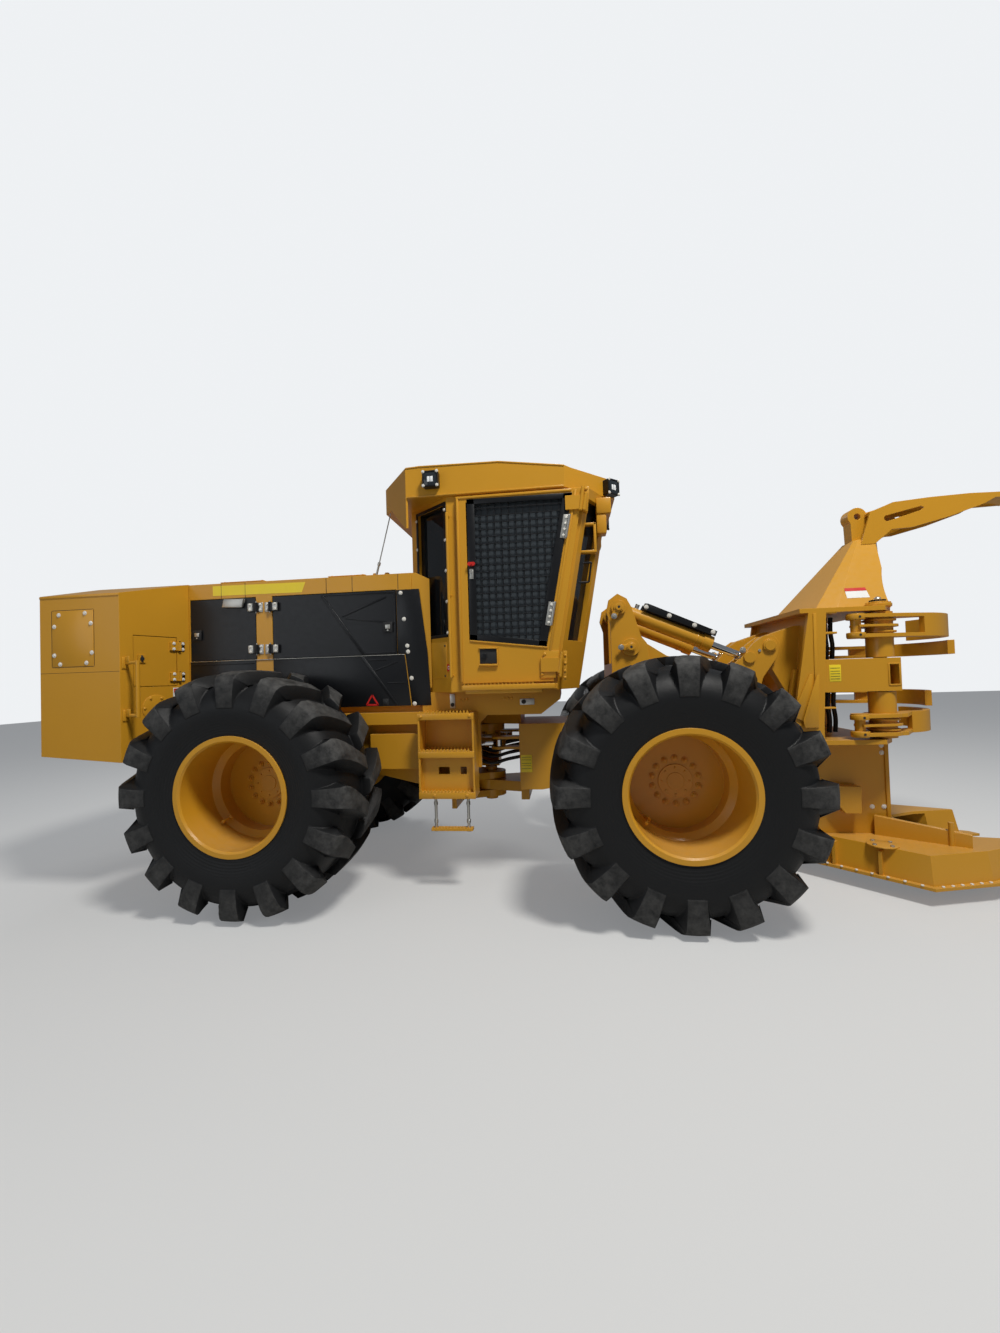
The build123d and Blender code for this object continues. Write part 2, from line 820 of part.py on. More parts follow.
with BuildPart() as cab_glass:
    cab_hull(cab_wall + seat_gap, cab_floor_z + 120, cab_top_z - 12)
    cab_hull(cab_wall + seat_gap + glass_wall, cab_floor_z + 119, cab_top_z - 11, Mode.SUBTRACT)
    pane_hull = cab_glass.part
with BuildPart() as cab_glass:
    cab_openings(24, Mode.ADD, False)
    add(pane_hull, mode=Mode.INTERSECT)
save("cab_glass", cab_glass)

# Cab roof: peaked in side view, with chamfered corners and a deep plate at each rear corner
roof_half = 826
roof_edge = [(870, -470), (1160, -roof_half), (2450, -roof_half), (2868, -452)]
roof_plan = roof_edge + [(x, -y) for x, y in reversed(roof_edge)]
fascia_bottom = cab_top_z + seat_gap
roof_side = [
    (870, fascia_bottom),
    (870, roof_top - 42),
    (1270, roof_top),
    (1928, roof_top - 12),
    (2500, roof_top - 94),
    (2868, roof_top - 107),
    (2868, fascia_bottom),
]
skirt_wall = 18
skirt_run = hypot(roof_edge[1][0] - roof_edge[0][0], roof_edge[1][1] - roof_edge[0][1])
skirt_side = [
    (0, fascia_bottom + 110), (8, fascia_bottom + 95), (skirt_run - 25, 2950),
    (skirt_run, 2950), (skirt_run, fascia_bottom + 110),
]
with BuildPart() as cab_roof:
    slab(roof_plan, fascia_bottom, roof_top + 5)
    plate(roof_side, -roof_half - 5, roof_half + 5, Mode.INTERSECT)
    skirt = corner_plane(roof_edge[0], roof_edge[1])
    with BuildSketch(skirt.offset(-skirt_wall)) as skirt_plate:
        with BuildLine():
            Polyline(*skirt_side, close=True)
        make_face()
    right_skirt = extrude(skirt_plate.sketch, amount=skirt_wall, mode=Mode.PRIVATE)
    add([right_skirt, right_skirt.mirror(Plane.XZ)])
save("cab_roof", cab_roof)

# Cab door with its welded mesh, hinged along the sloping front edge
mesh_bar = 7
mesh_pitch = 57
hinge_axis_out = cab_half_width + door_wall + 16


def door_front(z):
    """Place of the door's front edge at a height"""
    return cab_side_front + lean_at(z) - 25


def window_front(z):
    """Place of the door window's front edge at a height"""
    low, high = side_window[1], side_window[2]
    return low[0] + (high[0] - low[0]) * (z - low[1]) / (high[1] - low[1])


with BuildPart() as cab_door:
    plate(door_outline, cab_half_width + seat_gap, cab_half_width + door_wall)
    plate(side_window, cab_half_width - 5, cab_half_width + door_wall + 5, Mode.SUBTRACT)
    bar_out = cab_half_width + 12
    for i in range(1, 15):
        x = 1655 + i * mesh_pitch
        if x < 2480:
            low = 2000 - 40
            high = 3135
            start = low if x < 2262 else low + (x - 2262) * 4.9
            block(x - mesh_bar / 2, x + mesh_bar / 2, -bar_out - mesh_bar, -bar_out, start - 10, high)
    for i in range(19):
        z = 2036 + i * mesh_pitch
        if z < 3110:
            far = -bar_out - mesh_bar - seat_gap
            block(1645, window_front(z) + 12, far - mesh_bar, far, z, z + mesh_bar)
    # Recessed handle pocket and the leaves of the two hinges
    block(1780, 1880, -cab_half_width - door_wall - 5, -cab_half_width - 14, 1825, 1945, Mode.SUBTRACT)
    for z0, z1 in ((1730, 1860), (2990, 3120)):
        start = (door_front(z0) + 30, -hinge_axis_out, z0)
        end = (door_front(z1) + 30, -hinge_axis_out, z1)
        bar(start, end, 14)
        block(
            door_front(z0) - 110, door_front(z0) + 36, -hinge_axis_out - 5,
            -cab_half_width - door_wall + 1, z0 + 10, z1 - 10,
        )
save("cab_door", cab_door)

with BuildPart() as door_glass:
    plate(
        [(1630, 1985), (window_front(1985) + 20, 1935), (window_front(3120) + 22, 3135), (1630, 3135)],
        cab_half_width - glass_wall, cab_half_width,
    )
save("door_glass", door_glass)

# Seat, its base with arm rests, and the front console
with BuildPart() as seat:
    block(1560, 2060, -250, 250, 2080, 2190)
    block(1470, 1580, -240, 240, 2190 + seat_gap, 2800)
save("seat", seat)
with BuildPart() as controls:
    block(1620, 1980, -170, 170, cab_floor_z + cab_wall + seat_gap, 1800)
    block(1560, 2040, -240, 240, 2010, 2080 - seat_gap)
    block(1680, 1920, -120, 120, 1800, 2010)
    for y in (-330, 330):
        block(1600, 2060, y - 60, y + 60, 2230, 2310)
        block(1700, 1760, y - 25, y + 25, 2050, 2230)
        bar((2000, y, 2310), (2000, y, 2440), 22)
    block(1600, 1800, -400, 400, 2030, 2060)
save("controls", controls)

# Grab bars: cab corner, front post, tail box corners
with BuildPart() as grab_bars:
    rail_y = -cab_half_width - 62
    bar((1505, rail_y, 1720), (1505, rail_y, 3040), 13)
    for z in (1735, 2380, 3025):
        bar((1505, rail_y, z), (1505, -cab_half_width - seat_gap, z), 9)
    z0, z1 = 1480, 1930
    bar(face_point(tail_bar_u, z0, tail_bar_reach), face_point(tail_bar_u, z1, tail_bar_reach), 15)
    for z in (z0 + 15, z1 - 15):
        bar(face_point(tail_bar_u, z, tail_bar_reach), face_point(tail_bar_u, z, seat_gap), 13)
    left_tail_bar = grab_bars.part
with BuildPart() as grab_bars:
    add(left_tail_bar)
    bars = left_tail_bar.solids().sort_by(Axis.X)
    add(bars[0].mirror(Plane.XZ))
save("grab_bars", grab_bars)

# Work lamps: one on each side of the roof at the rear, one on each front corner
lamp_size = 130
lamp_depth = 60
with BuildPart() as work_lamps:
    for plane, u, z in (
        (corner_plane(roof_edge[1], roof_edge[2]), 222, 3318),
        (corner_plane(roof_edge[2], roof_edge[3]), 490, 3262),
    ):
        with BuildSketch(plane.offset(seat_gap)) as lamp:
            with Locations((u, z)):
                RectangleRounded(lamp_size, lamp_size, 14)
        lamp_body = extrude(lamp.sketch, amount=lamp_depth, mode=Mode.PRIVATE)
        add([lamp_body, lamp_body.mirror(Plane.XZ)])
save("work_lamps", work_lamps)

# Front frame: side plates, deck, hinge bulkhead and lugs, and the loader tower
tower_side = [
    (tower_rear, 1290),
    (tower_rear, 2130),
    (2768, 2235),
    (2790, 2335),
    (2865, 2388),
    (2940, 2345),
    (2978, 2270),
    (3050, 2020),
    (3095, 1960),
    (3108, 1840),
    (3200, 1600),
    (3270, 1290),
]
front_side = [
    (front_hull_rear, front_hull_top),
    (front_hull_rear, front_hull_bottom - 60),
    (2180, front_hull_bottom - 60),
    (wheelbase - 330, front_hull_bottom + 60),
    (wheelbase - 270, axle_pad_top),
    (wheelbase + 270, axle_pad_top),
    (wheelbase + 300, 1000),
    (front_hull_front, 1000),
    (front_hull_front, front_hull_top),
]
with BuildPart() as front_frame:
    plate(front_side, front_hull_half - 60, front_hull_half)
    plate(tower_side, front_hull_half, tower_outer)
    block(tower_rear, wheelbase - axle_pad_half - 15, -tower_outer, -front_hull_half, 1010, front_hull_top)
    block(tower_rear, 3262, -tower_outer, -front_hull_half, axle_pad_top + seat_gap, front_hull_top)
    plate([(max(x, tower_inner_rear), z) for x, z in tower_side], tower_inner, tower_inner + tower_wall)
    for x, z, radius, pin in (
        (lift_pin[0], lift_pin[1], 74, boom_pin_radius),
        (lift_top_pin[0], lift_top_pin[1], 62, ram_pin_radius),
    ):
        boss(x, z, radius, tower_outer - 5, tower_outer + 24)
        boss(x, z, pin, tower_inner + 5, tower_outer + 30)
    # Clevis for the steering rod
    for z in (steer_z - steer_eye_wall / 2 - plate_gap - 22, steer_z + steer_eye_wall / 2 + plate_gap):
        block(steer_front_x - 10, front_hull_rear + 5, -steer_front_y - 60, -steer_front_y + 60, z, z + 22)
        post(steer_front_x, -steer_front_y, 66, z, z + 22)
    mirror(about=Plane.XZ)
    block(
        front_hull_rear, front_hull_front, -front_hull_half + 60,
        front_hull_half - 60, axle_pad_top + 20, front_hull_top,
    )
    block(
        front_hull_rear, front_hull_rear + 70, -front_hull_half + 60,
        front_hull_half - 60, lower_lug_z - 90, axle_pad_top + 20,
    )
    block(tower_rear, tower_rear + 36, -tower_outer, tower_outer, front_hull_top - 5, tower_cross_top)
    for z in (upper_lug_z, lower_lug_z):
        low = z - front_lug_wall / 2
        slab(
            [
                (hinge_x, -hinge_lug_radius), (front_hull_rear + 5, -230),
                (front_hull_rear + 5, 230), (hinge_x, hinge_lug_radius),
            ],
            low, low + front_lug_wall,
        )
        post(hinge_x, 0, hinge_lug_radius, low, low + front_lug_wall)
        post(hinge_x, 0, hinge_pin_radius + pin_fit, low - 5, low + front_lug_wall + 5, Mode.SUBTRACT)
save("front_frame", front_frame)


# Hydraulic cylinders, between a foot pin and a rod pin
def between(foot, head, distance):
    """Point at a distance from the foot towards the head"""
    run = Vector(*head) - Vector(*foot)
    spot = Vector(*foot) + run.normalized() * distance
    return (spot.X, spot.Y, spot.Z)


def cylinder_barrel(foot, head, pin_dir, length, radius, bore, bore_start, eye_radius, eye_half, pin_radius):
    """Barrel with its foot eye, gland collar and rod bore"""
    neck_end = eye_radius + 26
    bar(
        between(foot, head, eye_radius * 0.7),
        between(foot, head, neck_end + 5), min(radius, eye_half) * 0.94,
    )
    bar(between(foot, head, neck_end), between(foot, head, length), radius)
    bar(between(foot, head, length - 80), between(foot, head, length), radius * 1.14)
    low = tuple(f - d * eye_half for f, d in zip(foot, pin_dir))
    high = tuple(f + d * eye_half for f, d in zip(foot, pin_dir))
    bar(low, high, eye_radius)
    bar(between(foot, head, bore_start), between(foot, head, length + 5), bore, Mode.SUBTRACT)
    bar(low, high, pin_radius + pin_fit, Mode.SUBTRACT)


def cylinder_rod(foot, head, pin_dir, start, radius, eye_radius, eye_half):
    """Rod with its eye, the middle of the pin in it"""
    bar(between(foot, head, start), head, radius)
    low = tuple(h - d * eye_half for h, d in zip(head, pin_dir))
    high = tuple(h + d * eye_half for h, d in zip(head, pin_dir))
    bar(low, high, eye_radius)


sideways = (0, 1, 0)
upright = (0, 0, 1)
eye_half = (front_hull_half - tower_inner - tower_wall) / 2 - plate_gap
steer_eye_half = steer_eye_wall / 2

for hand, ending in ((-1, "right"), (1, "left")):
    foot = (steer_rear_x, hand * steer_rear_y, steer_z)
    head = (steer_front_x, hand * steer_front_y, steer_z)
    with BuildPart() as steer_barrel:
        cylinder_barrel(
            foot, head, upright, steer_barrel_length, steer_barrel_radius, steer_rod_radius + pin_fit,
            90, steer_eye_radius, steer_eye_half, steer_pin_radius,
        )
    save(f"steer_barrel_{ending}", steer_barrel)
    with BuildPart() as steer_rod:
        cylinder_rod(foot, head, upright, 330, steer_rod_radius, steer_eye_radius, steer_eye_half)
    save(f"steer_rod_{ending}", steer_rod)

with BuildPart() as lift_barrels:
    for hand in (-1, 1):
        foot = (lift_top_pin[0], hand * ram_y, lift_top_pin[1])
        head = (ram_rod_pin[0], hand * ram_y, ram_rod_pin[1])
        cylinder_barrel(
            foot, head, sideways, ram_length, ram_radius, ram_rod_radius + pin_fit,
            200, ram_eye_radius, eye_half, ram_pin_radius,
        )
save("lift_barrels", lift_barrels)
with BuildPart() as lift_rods:
    for hand in (-1, 1):
        foot = (lift_top_pin[0], hand * ram_y, lift_top_pin[1])
        head = (ram_rod_pin[0], hand * ram_y, ram_rod_pin[1])
        cylinder_rod(foot, head, sideways, 430, ram_rod_radius, ram_eye_radius, eye_half)
save("lift_rods", lift_rods)

tilt_eye_half = 38
tilt_lug_wall = 18
with BuildPart() as tilt_barrels:
    for hand in (-1, 1):
        foot = (tilt_foot[0], hand * tilt_y, tilt_foot[1])
        head = (tilt_head[0], hand * tilt_y, tilt_head[1])
        cylinder_barrel(
            foot, head, sideways, tilt_length, tilt_radius, tilt_rod_radius + pin_fit,
            110, tilt_eye_radius, tilt_eye_half, ram_pin_radius,
        )
save("tilt_barrels", tilt_barrels)
with BuildPart() as tilt_rods:
    for hand in (-1, 1):
        foot = (tilt_foot[0], hand * tilt_y, tilt_foot[1])
        head = (tilt_head[0], hand * tilt_y, tilt_head[1])
        cylinder_rod(foot, head, sideways, 350, tilt_rod_radius, tilt_eye_radius, tilt_eye_half)
save("tilt_rods", tilt_rods)

# Lift arm: two beams joined by a cross tube, forked at the front for the rod and the head
beam_side = [
    (2900, 1850),
    (3150, 1540),
    (3700, 1400),
    (3800, 1420),
    (3800, 1725),
    (3700, 1735),
    (3260, 1850),
    (3040, 2000),
    (2960, 2036),
    (2880, 2000),
]
fork_side = [
    (3690, 1410),
    (3690, 1690),
    (3840, 1800),
    (3945, 1925),
    (4030, 1985),
    (4108, 1988),
    (4152, 1920),
    (4120, 1800),
    (4010, 1640),
    (3940, 1410),
]
fork_outer = front_hull_half + fork_wall - 4
fork_inner = arm_half_gap - plate_gap - fork_wall
with BuildPart() as lift_arm:
    plate(beam_side, arm_half_gap + 3, arm_outer - 3)
    boss(lift_pin[0], lift_pin[1], 108, arm_half_gap + 3, arm_outer - 3)
    plate(fork_side, arm_outer + 1, fork_outer)
    plate(fork_side, fork_inner, arm_half_gap)
    block(3690, 3800, -arm_outer - 5, -arm_half_gap + 5, 1425, 1700)
    for x, z, radius in ((*ram_rod_pin, 46), (*head_pin, 52)):
        boss(x, z, radius, fork_outer - 5, fork_outer + 18)
    boss(lift_pin[0], lift_pin[1], boom_pin_radius + pin_fit, arm_half_gap - 5, arm_outer + 5, Mode.SUBTRACT)
    boss(*head_pin, boom_pin_radius, fork_inner, fork_outer + 24)
    bar(
        (cross_tube[0], -arm_half_gap - 10, cross_tube[1]),
        (cross_tube[0], 0, cross_tube[1]), cross_tube_radius,
    )
    lug_points = [(3330, 1660), (3330, 1530), (3400, 1445), (3480, 1445), (3495, 1520), (3440, 1600)]
    for inner in (tilt_y - tilt_eye_half - plate_gap - tilt_lug_wall, tilt_y + tilt_eye_half + plate_gap):
        plate(lug_points, inner, inner + tilt_lug_wall)
    boss(*tilt_foot, ram_pin_radius, tilt_y - tilt_eye_half - 20, tilt_y + tilt_eye_half + 20)
    mirror(about=Plane.XZ)
save("lift_arm", lift_arm)


# Felling head
ear_inner = arm_half_gap + plate_gap
ear_outer = arm_outer - plate_gap
head_side = [
    (4150, 1110),
    (4150, 1230),
    (4195, 1530),
    (4300, head_deck_z + head_deck_wall),
    (4425, head_deck_z + head_deck_wall),
    (4375, 1240),
    (4375, 1110),
]
head_back = [(4215, 1112), (4335, head_deck_z + 5), (4372, head_deck_z + 5), (4252, 1112)]
head_ear = [
    (head_pin[0] - 40, head_pin[1] - 68),
    (4225, 1470),
    (4280, 1470),
    (4330, 2060),
    (4280, 2060),
    (head_pin[0] - 20, head_pin[1] + 80),
]
column_front = 5000
column_side = [
    (4400, 480), (4470, housing_top + seat_gap), (column_front, housing_top + seat_gap),
    (column_front, 1115), (4300, 1115), (4300, 960),
]
middle_box_bottom = 1515
middle_box_top = 1770
shelf_wall = 36
shelf_z = 1110
# Top guard: sloping cone whose front is cut to a hollow arc
guard_foot = [(4420, -440), (4560, -500), (4960, -500), (5060, -250)]
guard_peak = [(4920, -90), (4945, -115), (5075, -115), (5120, -60)]
guard_arc = (5712, 2205, 755)
with BuildPart() as guard:
    sections = []
    for edge, z in ((guard_foot, head_deck_z + head_deck_wall - 5), (guard_peak, horn_z - 280)):
        with BuildSketch(level(z)) as section:
            with BuildLine():
                Polyline(*edge, *[(x, -y) for x, y in reversed(edge)], close=True)
            make_face()
        sections.append(section.sketch)
    loft(sections, ruled=True)
    boss(*guard_arc, -520, 520, Mode.SUBTRACT)
# Horn in side view: its top line from rear to front, and the web under it
horn_top = [
    (5034, horn_z - 54), (5214, horn_z + 16), (5500, horn_z + 38), (5808, horn_z + 49),
    (6140, horn_z + 42), (nose_reach, horn_z + 27),
]
horn_side = horn_top + [
    (nose_reach, horn_z + 8), (6000, horn_z + 2), (5916, horn_z - 44), (5648, horn_z - 134),
    (5360, horn_z - 207), (5197, horn_z - 214), (5060, horn_z - 330), (4950, horn_z - 330),
]
horn_slot = [
    (5165, horn_z - 144), (5430, horn_z - 66), (5455, horn_z - 44),
    (5430, horn_z - 32), (5165, horn_z - 92),
]
lifting_eye = (4975, horn_z - 65)
lifting_eye_radius = 78
with BuildPart() as head_frame:
    plate(head_side, head_half_width - 34, head_half_width)
    plate(head_ear, ear_inner, ear_outer)
    boss(*head_pin, 82, ear_inner, ear_outer)
    boss(*head_pin, boom_pin_radius + pin_fit, ear_inner - 5, ear_outer + 5, Mode.SUBTRACT)
    # Fins at the rear, under the ears
    plate([(4150, 1230), (4260, 1230), (4310, 1700), (4235, 1700)], 430, 470)
    # Arm pin with its caps
    post(arm_pin_x, -arm_pin_y, arm_pin_radius, shelf_z, head_deck_z + 95)
    post(arm_pin_x, -arm_pin_y, 72, head_deck_z + head_deck_wall, head_deck_z + 70)
    for inner in (tilt_y - tilt_eye_half - plate_gap - tilt_lug_wall, tilt_y + tilt_eye_half + plate_gap):
        lug = [(4330, 1130), (4215, 1130), (4200, 1050), (4240, 992), (4400, 960)]
        plate(lug, inner, inner + tilt_lug_wall)
    # Side web of the horn, tapering forward, with its long slot
    plate(horn_side, horn_half_width - horn_wall, horn_half_width)
    bar(
        (5165, -horn_half_width - 10, horn_z - 118),
        (5165, -horn_half_width + horn_wall + 10, horn_z - 118), 26, Mode.SUBTRACT,
    )
    plate(horn_slot, horn_half_width - horn_wall - 10, horn_half_width + 10, Mode.SUBTRACT)
    mirror(about=Plane.XZ)
    plate(head_back, -head_half_width + 30, head_half_width - 30)
    for z, wall_height, reach in ((head_deck_z, head_deck_wall, 4955), (shelf_z, shelf_wall, 4925)):
        edge = [(4230, -head_half_width), (reach - 110, -head_half_width), (reach, -head_half_width + 130)]
        slab(edge + [(x, -y) for x, y in reversed(edge)], z, z + wall_height)
    block(4330, 4950, -600, 600, middle_box_bottom, middle_box_top)
    block(4866, 4934, -640, 640, middle_box_bottom + 45, middle_box_top - 45, Mode.SUBTRACT)
    plate(column_side, -300, 300)
    # Hose box at the foot of the column, on the right
    plate([(4525, 750), (4735, 742), (4728, 530), (4610, 530), (4525, 640)], 295, 400)
    for y in (-tilt_y, tilt_y):
        gap_half = tilt_eye_half + plate_gap
        block(4100, 4348, y - gap_half, y + gap_half, 925, 1345, Mode.SUBTRACT)
    add(guard.part)
    # Horn: top plate over the two webs, and the lifting lug in front of the cone's peak
    plate(horn_top + [(x, z - horn_wall) for x, z in reversed(horn_top)], -horn_half_width, horn_half_width)
    neck = [
        (4925, horn_z - 290), (4918, horn_z - 90), (4990, horn_z - 50),
        (5214, horn_z + 10), (5330, horn_z - 190), (5110, horn_z - 290),
    ]
    plate(neck, -60, 60)
    boss(*lifting_eye, lifting_eye_radius, -60, 60)
    boss(*lifting_eye, 27, -65, 65, Mode.SUBTRACT)
save("head_frame", head_frame)

# Saw housing: flanged body with sloping walls and two prongs around the throat, disc pocket
# underneath, splash walls on top with their posts
flange_edge = [
    (4250, -240), (4920, -910), (5420, -780), (6100, -480),
    (6140, -400), (5560, -300), (5350, -200),
]
body_edge = [
    (4290, -226), (4934, -872), (5405, -750), (5990, -492),
    (5990, -422), (5585, -352), (5322, -226),
]
flange_plan = flange_edge + [(x, -y) for x, y in reversed(flange_edge)]
body_plan = body_edge + [(x, -y) for x, y in reversed(body_edge)]
flange_wall = 22
rib_wall = 16
splash_foot = (4860, -325)
splash_end = (5345, -655)
splash_run = hypot(splash_end[0] - splash_foot[0], splash_end[1] - splash_foot[1])
splash_side = [(0, housing_top - 5), (0, 500), (splash_run, 440), (splash_run, housing_top - 5)]
with BuildPart() as saw_housing:
    slab(flange_plan, housing_bottom, housing_bottom + flange_wall)
    with BuildSketch(level(housing_bottom + 10)) as body_foot:
        with BuildLine():
            Polyline(*body_plan, close=True)
        make_face()
    extrude(body_foot.sketch, amount=housing_top - housing_bottom - 10, taper=9)
    # Ribs on the sloping wall, right and left
    for x, y in ((4518, -411), (4738, -631)):
        rib = [(x - 45, y - 45 + rib_wall), (x - 45 + rib_wall, y - 45), (x + 30, y + 14), (x + 14, y + 30)]
        slab(rib, housing_bottom + flange_wall - 2, housing_top - 26)
        slab([(a, -b) for a, b in rib], housing_bottom + flange_wall - 2, housing_top - 26)
    post(saw_x, 0, saw_radius + 20, housing_bottom - 5, housing_top - housing_wall, Mode.SUBTRACT)
    post(saw_x, 0, 60 + pin_fit, housing_top - housing_wall - 5, housing_top + 5, Mode.SUBTRACT)
    with BuildSketch(corner_plane(splash_foot, splash_end)) as splash:
        with BuildLine():
            Polyline(*splash_side, close=True)
        make_face()
    right_splash = extrude(splash.sketch, amount=housing_wall, mode=Mode.PRIVATE)
    add([right_splash, right_splash.mirror(Plane.XZ)])
    for hand in (-1, 1):
        bar((5235, hand * 608, housing_top - 5), (5235, hand * 608, 520), 17)
save("saw_housing", saw_housing)

# Saw disc with replaceable teeth, hub and shaft
disc_radius = saw_radius - 40
with BuildPart() as saw_disc:
    post(saw_x, 0, disc_radius, saw_z, saw_z + saw_wall)
    post(saw_x, 0, 110, saw_z + saw_wall - 5, housing_top - housing_wall - 6)
    post(saw_x, 0, 60, housing_top - housing_wall - 10, housing_top - 2)
    for i in range(tooth_count):
        turn = i * 360 / tooth_count
        with BuildSketch(level(saw_z - 4)) as tooth:
            with Locations((saw_x, 0)):
                with PolarLocations(disc_radius + 14, 1, start_angle=turn):
                    Rectangle(50, 46)
        extrude(tooth.sketch, amount=saw_wall + 8)
save("saw_disc", saw_disc)


# Gathering arms: hub tubes on the arm pins, levers behind, curved tines round the pocket
def ring_band(radius, start, end, bottom, top):
    """Curved band of a tine, angles counted from straight ahead, right negative"""
    with BuildSketch(level(bottom)) as band:
        with Locations((pocket_x, 0)):
            Circle(radius)
            Circle(radius - tine_wall, mode=Mode.SUBTRACT)
        reach = 1200
        wedge = [(pocket_x, 0)]
        for i in range(6):
            turn = radians(start + (end - start) * i / 5)
            wedge.append((pocket_x + reach * cos(turn), reach * sin(turn)))
        with BuildLine():
            Polyline(*wedge, close=True)
        make_face(mode=Mode.INTERSECT)
    extrude(band.sketch, amount=top - bottom)


def ring_spot(radius, angle):
    return (pocket_x + radius * cos(radians(angle)), radius * sin(radians(angle)))


def gathering_arm(tines):
    """Arm on the right-hand pin; tine columns: radius, root end angle, bottom, top, hub bottom, hub top"""
    for radius, root, bottom, top, hub_bottom, hub_top in tines:
        post(arm_pin_x, -arm_pin_y, arm_hub_radius, hub_bottom, hub_top)
        ring_band(radius, -75, 25, bottom, top)
        web = [
            (arm_pin_x, -arm_pin_y - arm_plate_radius),
            (5000, -arm_pin_y - arm_hub_radius * (radius / 560)),
            ring_spot(radius - 2, -75),
            ring_spot(radius - 2, root),
            ring_spot(radius - tine_wall, root),
            ring_spot(radius - tine_wall - 40, -72),
            (4960, -arm_pin_y + arm_hub_radius - 10),
            (arm_pin_x, -arm_pin_y + arm_plate_radius),
        ]
        lever = [
            (arm_pin_x - 20, -arm_pin_y + arm_plate_radius - 4), (arm_pin_x, -arm_pin_y - arm_plate_radius),
            (lever_pin[0], lever_pin[1] - 55), (lever_pin[0] - 20, lever_pin[1] + 50),
        ]
        for z in (bottom, top - arm_plate_wall):
            slab(web, z, z + arm_plate_wall)
            slab(lever, z, z + arm_plate_wall)
            post(arm_pin_x, -arm_pin_y, arm_plate_radius, z, z + arm_plate_wall)
            post(*lever_pin, 60, z - 6, z + arm_plate_wall + 6)
        middle = (bottom + top) / 2
        slab(lever, middle - 9, middle + 9)
        post(arm_pin_x, -arm_pin_y, arm_plate_radius, middle - 9, middle + 9)
        post(*lever_pin, 36, bottom, top)
        post(arm_pin_x, -arm_pin_y, arm_pin_radius + pin_fit, hub_bottom - 5, hub_top + 5, Mode.SUBTRACT)


lever_pin = (4640, -600)
arm_plate_radius = 124
arm_plate_wall = 28
upper_hub = (middle_box_top + plate_gap, head_deck_z - plate_gap)
lower_hub = (shelf_z + shelf_wall + plate_gap, middle_box_bottom - plate_gap)
with BuildPart() as arm_right:
    gathering_arm([(560, -60, 1930, 2110, *upper_hub), (420, -55, 1172, 1340, *lower_hub)])
save("arm_right", arm_right)
with BuildPart() as arm_mirrored:
    gathering_arm([(600, -60, 1790, 1905, *upper_hub), (440, -55, 1366, 1494, *lower_hub)])
with BuildPart() as arm_left:
    add(arm_mirrored.part.mirror(Plane.XZ))
save("arm_left", arm_left)
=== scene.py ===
# %% [markdown]
# # Wheeled feller buncher, dressed for a studio picture
#
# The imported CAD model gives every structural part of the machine: tyres with their lugs, hull,
# hood, cab, tower, arm, cylinders and the felling head. This notebook loads that model as a fixed
# frame, gives each part a procedural finish, and models the small things a person sees from a step
# away: hinges, latches, bolts, labels, lenses, treads and the padded seat.
#
# Distances in the lesson are given in millimetres from the rear axle, on the centre line and on
# the ground, because that is how the machine is measured. `at()` turns them into metres in the
# model's own frame.

# %% Load the frame
import json
import math

import bpy
from mathutils import Matrix, Vector


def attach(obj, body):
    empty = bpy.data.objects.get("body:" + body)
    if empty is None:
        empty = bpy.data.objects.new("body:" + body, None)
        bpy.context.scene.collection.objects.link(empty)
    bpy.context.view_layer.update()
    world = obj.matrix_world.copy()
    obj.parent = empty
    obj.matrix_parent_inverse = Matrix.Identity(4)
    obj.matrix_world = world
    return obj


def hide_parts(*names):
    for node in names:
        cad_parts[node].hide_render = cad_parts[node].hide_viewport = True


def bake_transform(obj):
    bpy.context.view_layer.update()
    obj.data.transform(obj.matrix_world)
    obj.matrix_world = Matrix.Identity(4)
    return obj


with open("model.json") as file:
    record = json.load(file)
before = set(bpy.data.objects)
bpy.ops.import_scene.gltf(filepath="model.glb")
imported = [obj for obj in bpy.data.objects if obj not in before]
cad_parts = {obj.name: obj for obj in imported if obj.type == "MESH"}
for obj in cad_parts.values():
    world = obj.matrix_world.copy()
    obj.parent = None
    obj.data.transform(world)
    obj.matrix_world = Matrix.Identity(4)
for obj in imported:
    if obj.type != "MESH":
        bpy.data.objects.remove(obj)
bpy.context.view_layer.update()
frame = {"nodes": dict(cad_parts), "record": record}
REAR_AXLE = -2.2175
WHEELBASE = 3180


def at(x, y, z):
    """Millimetres from the rear axle, as metres in the model's frame."""
    return Vector((REAR_AXLE + x / 1000, y / 1000, z / 1000))


# %% [markdown]
# ## Camera
#
# The picture was taken from the right-hand side, about five metres out, with a very wide lens. The
# camera's place, its turn and its tilt were solved from straight edges of the machine and from its
# wheels, so the model falls close to the same pixels as in the photograph.

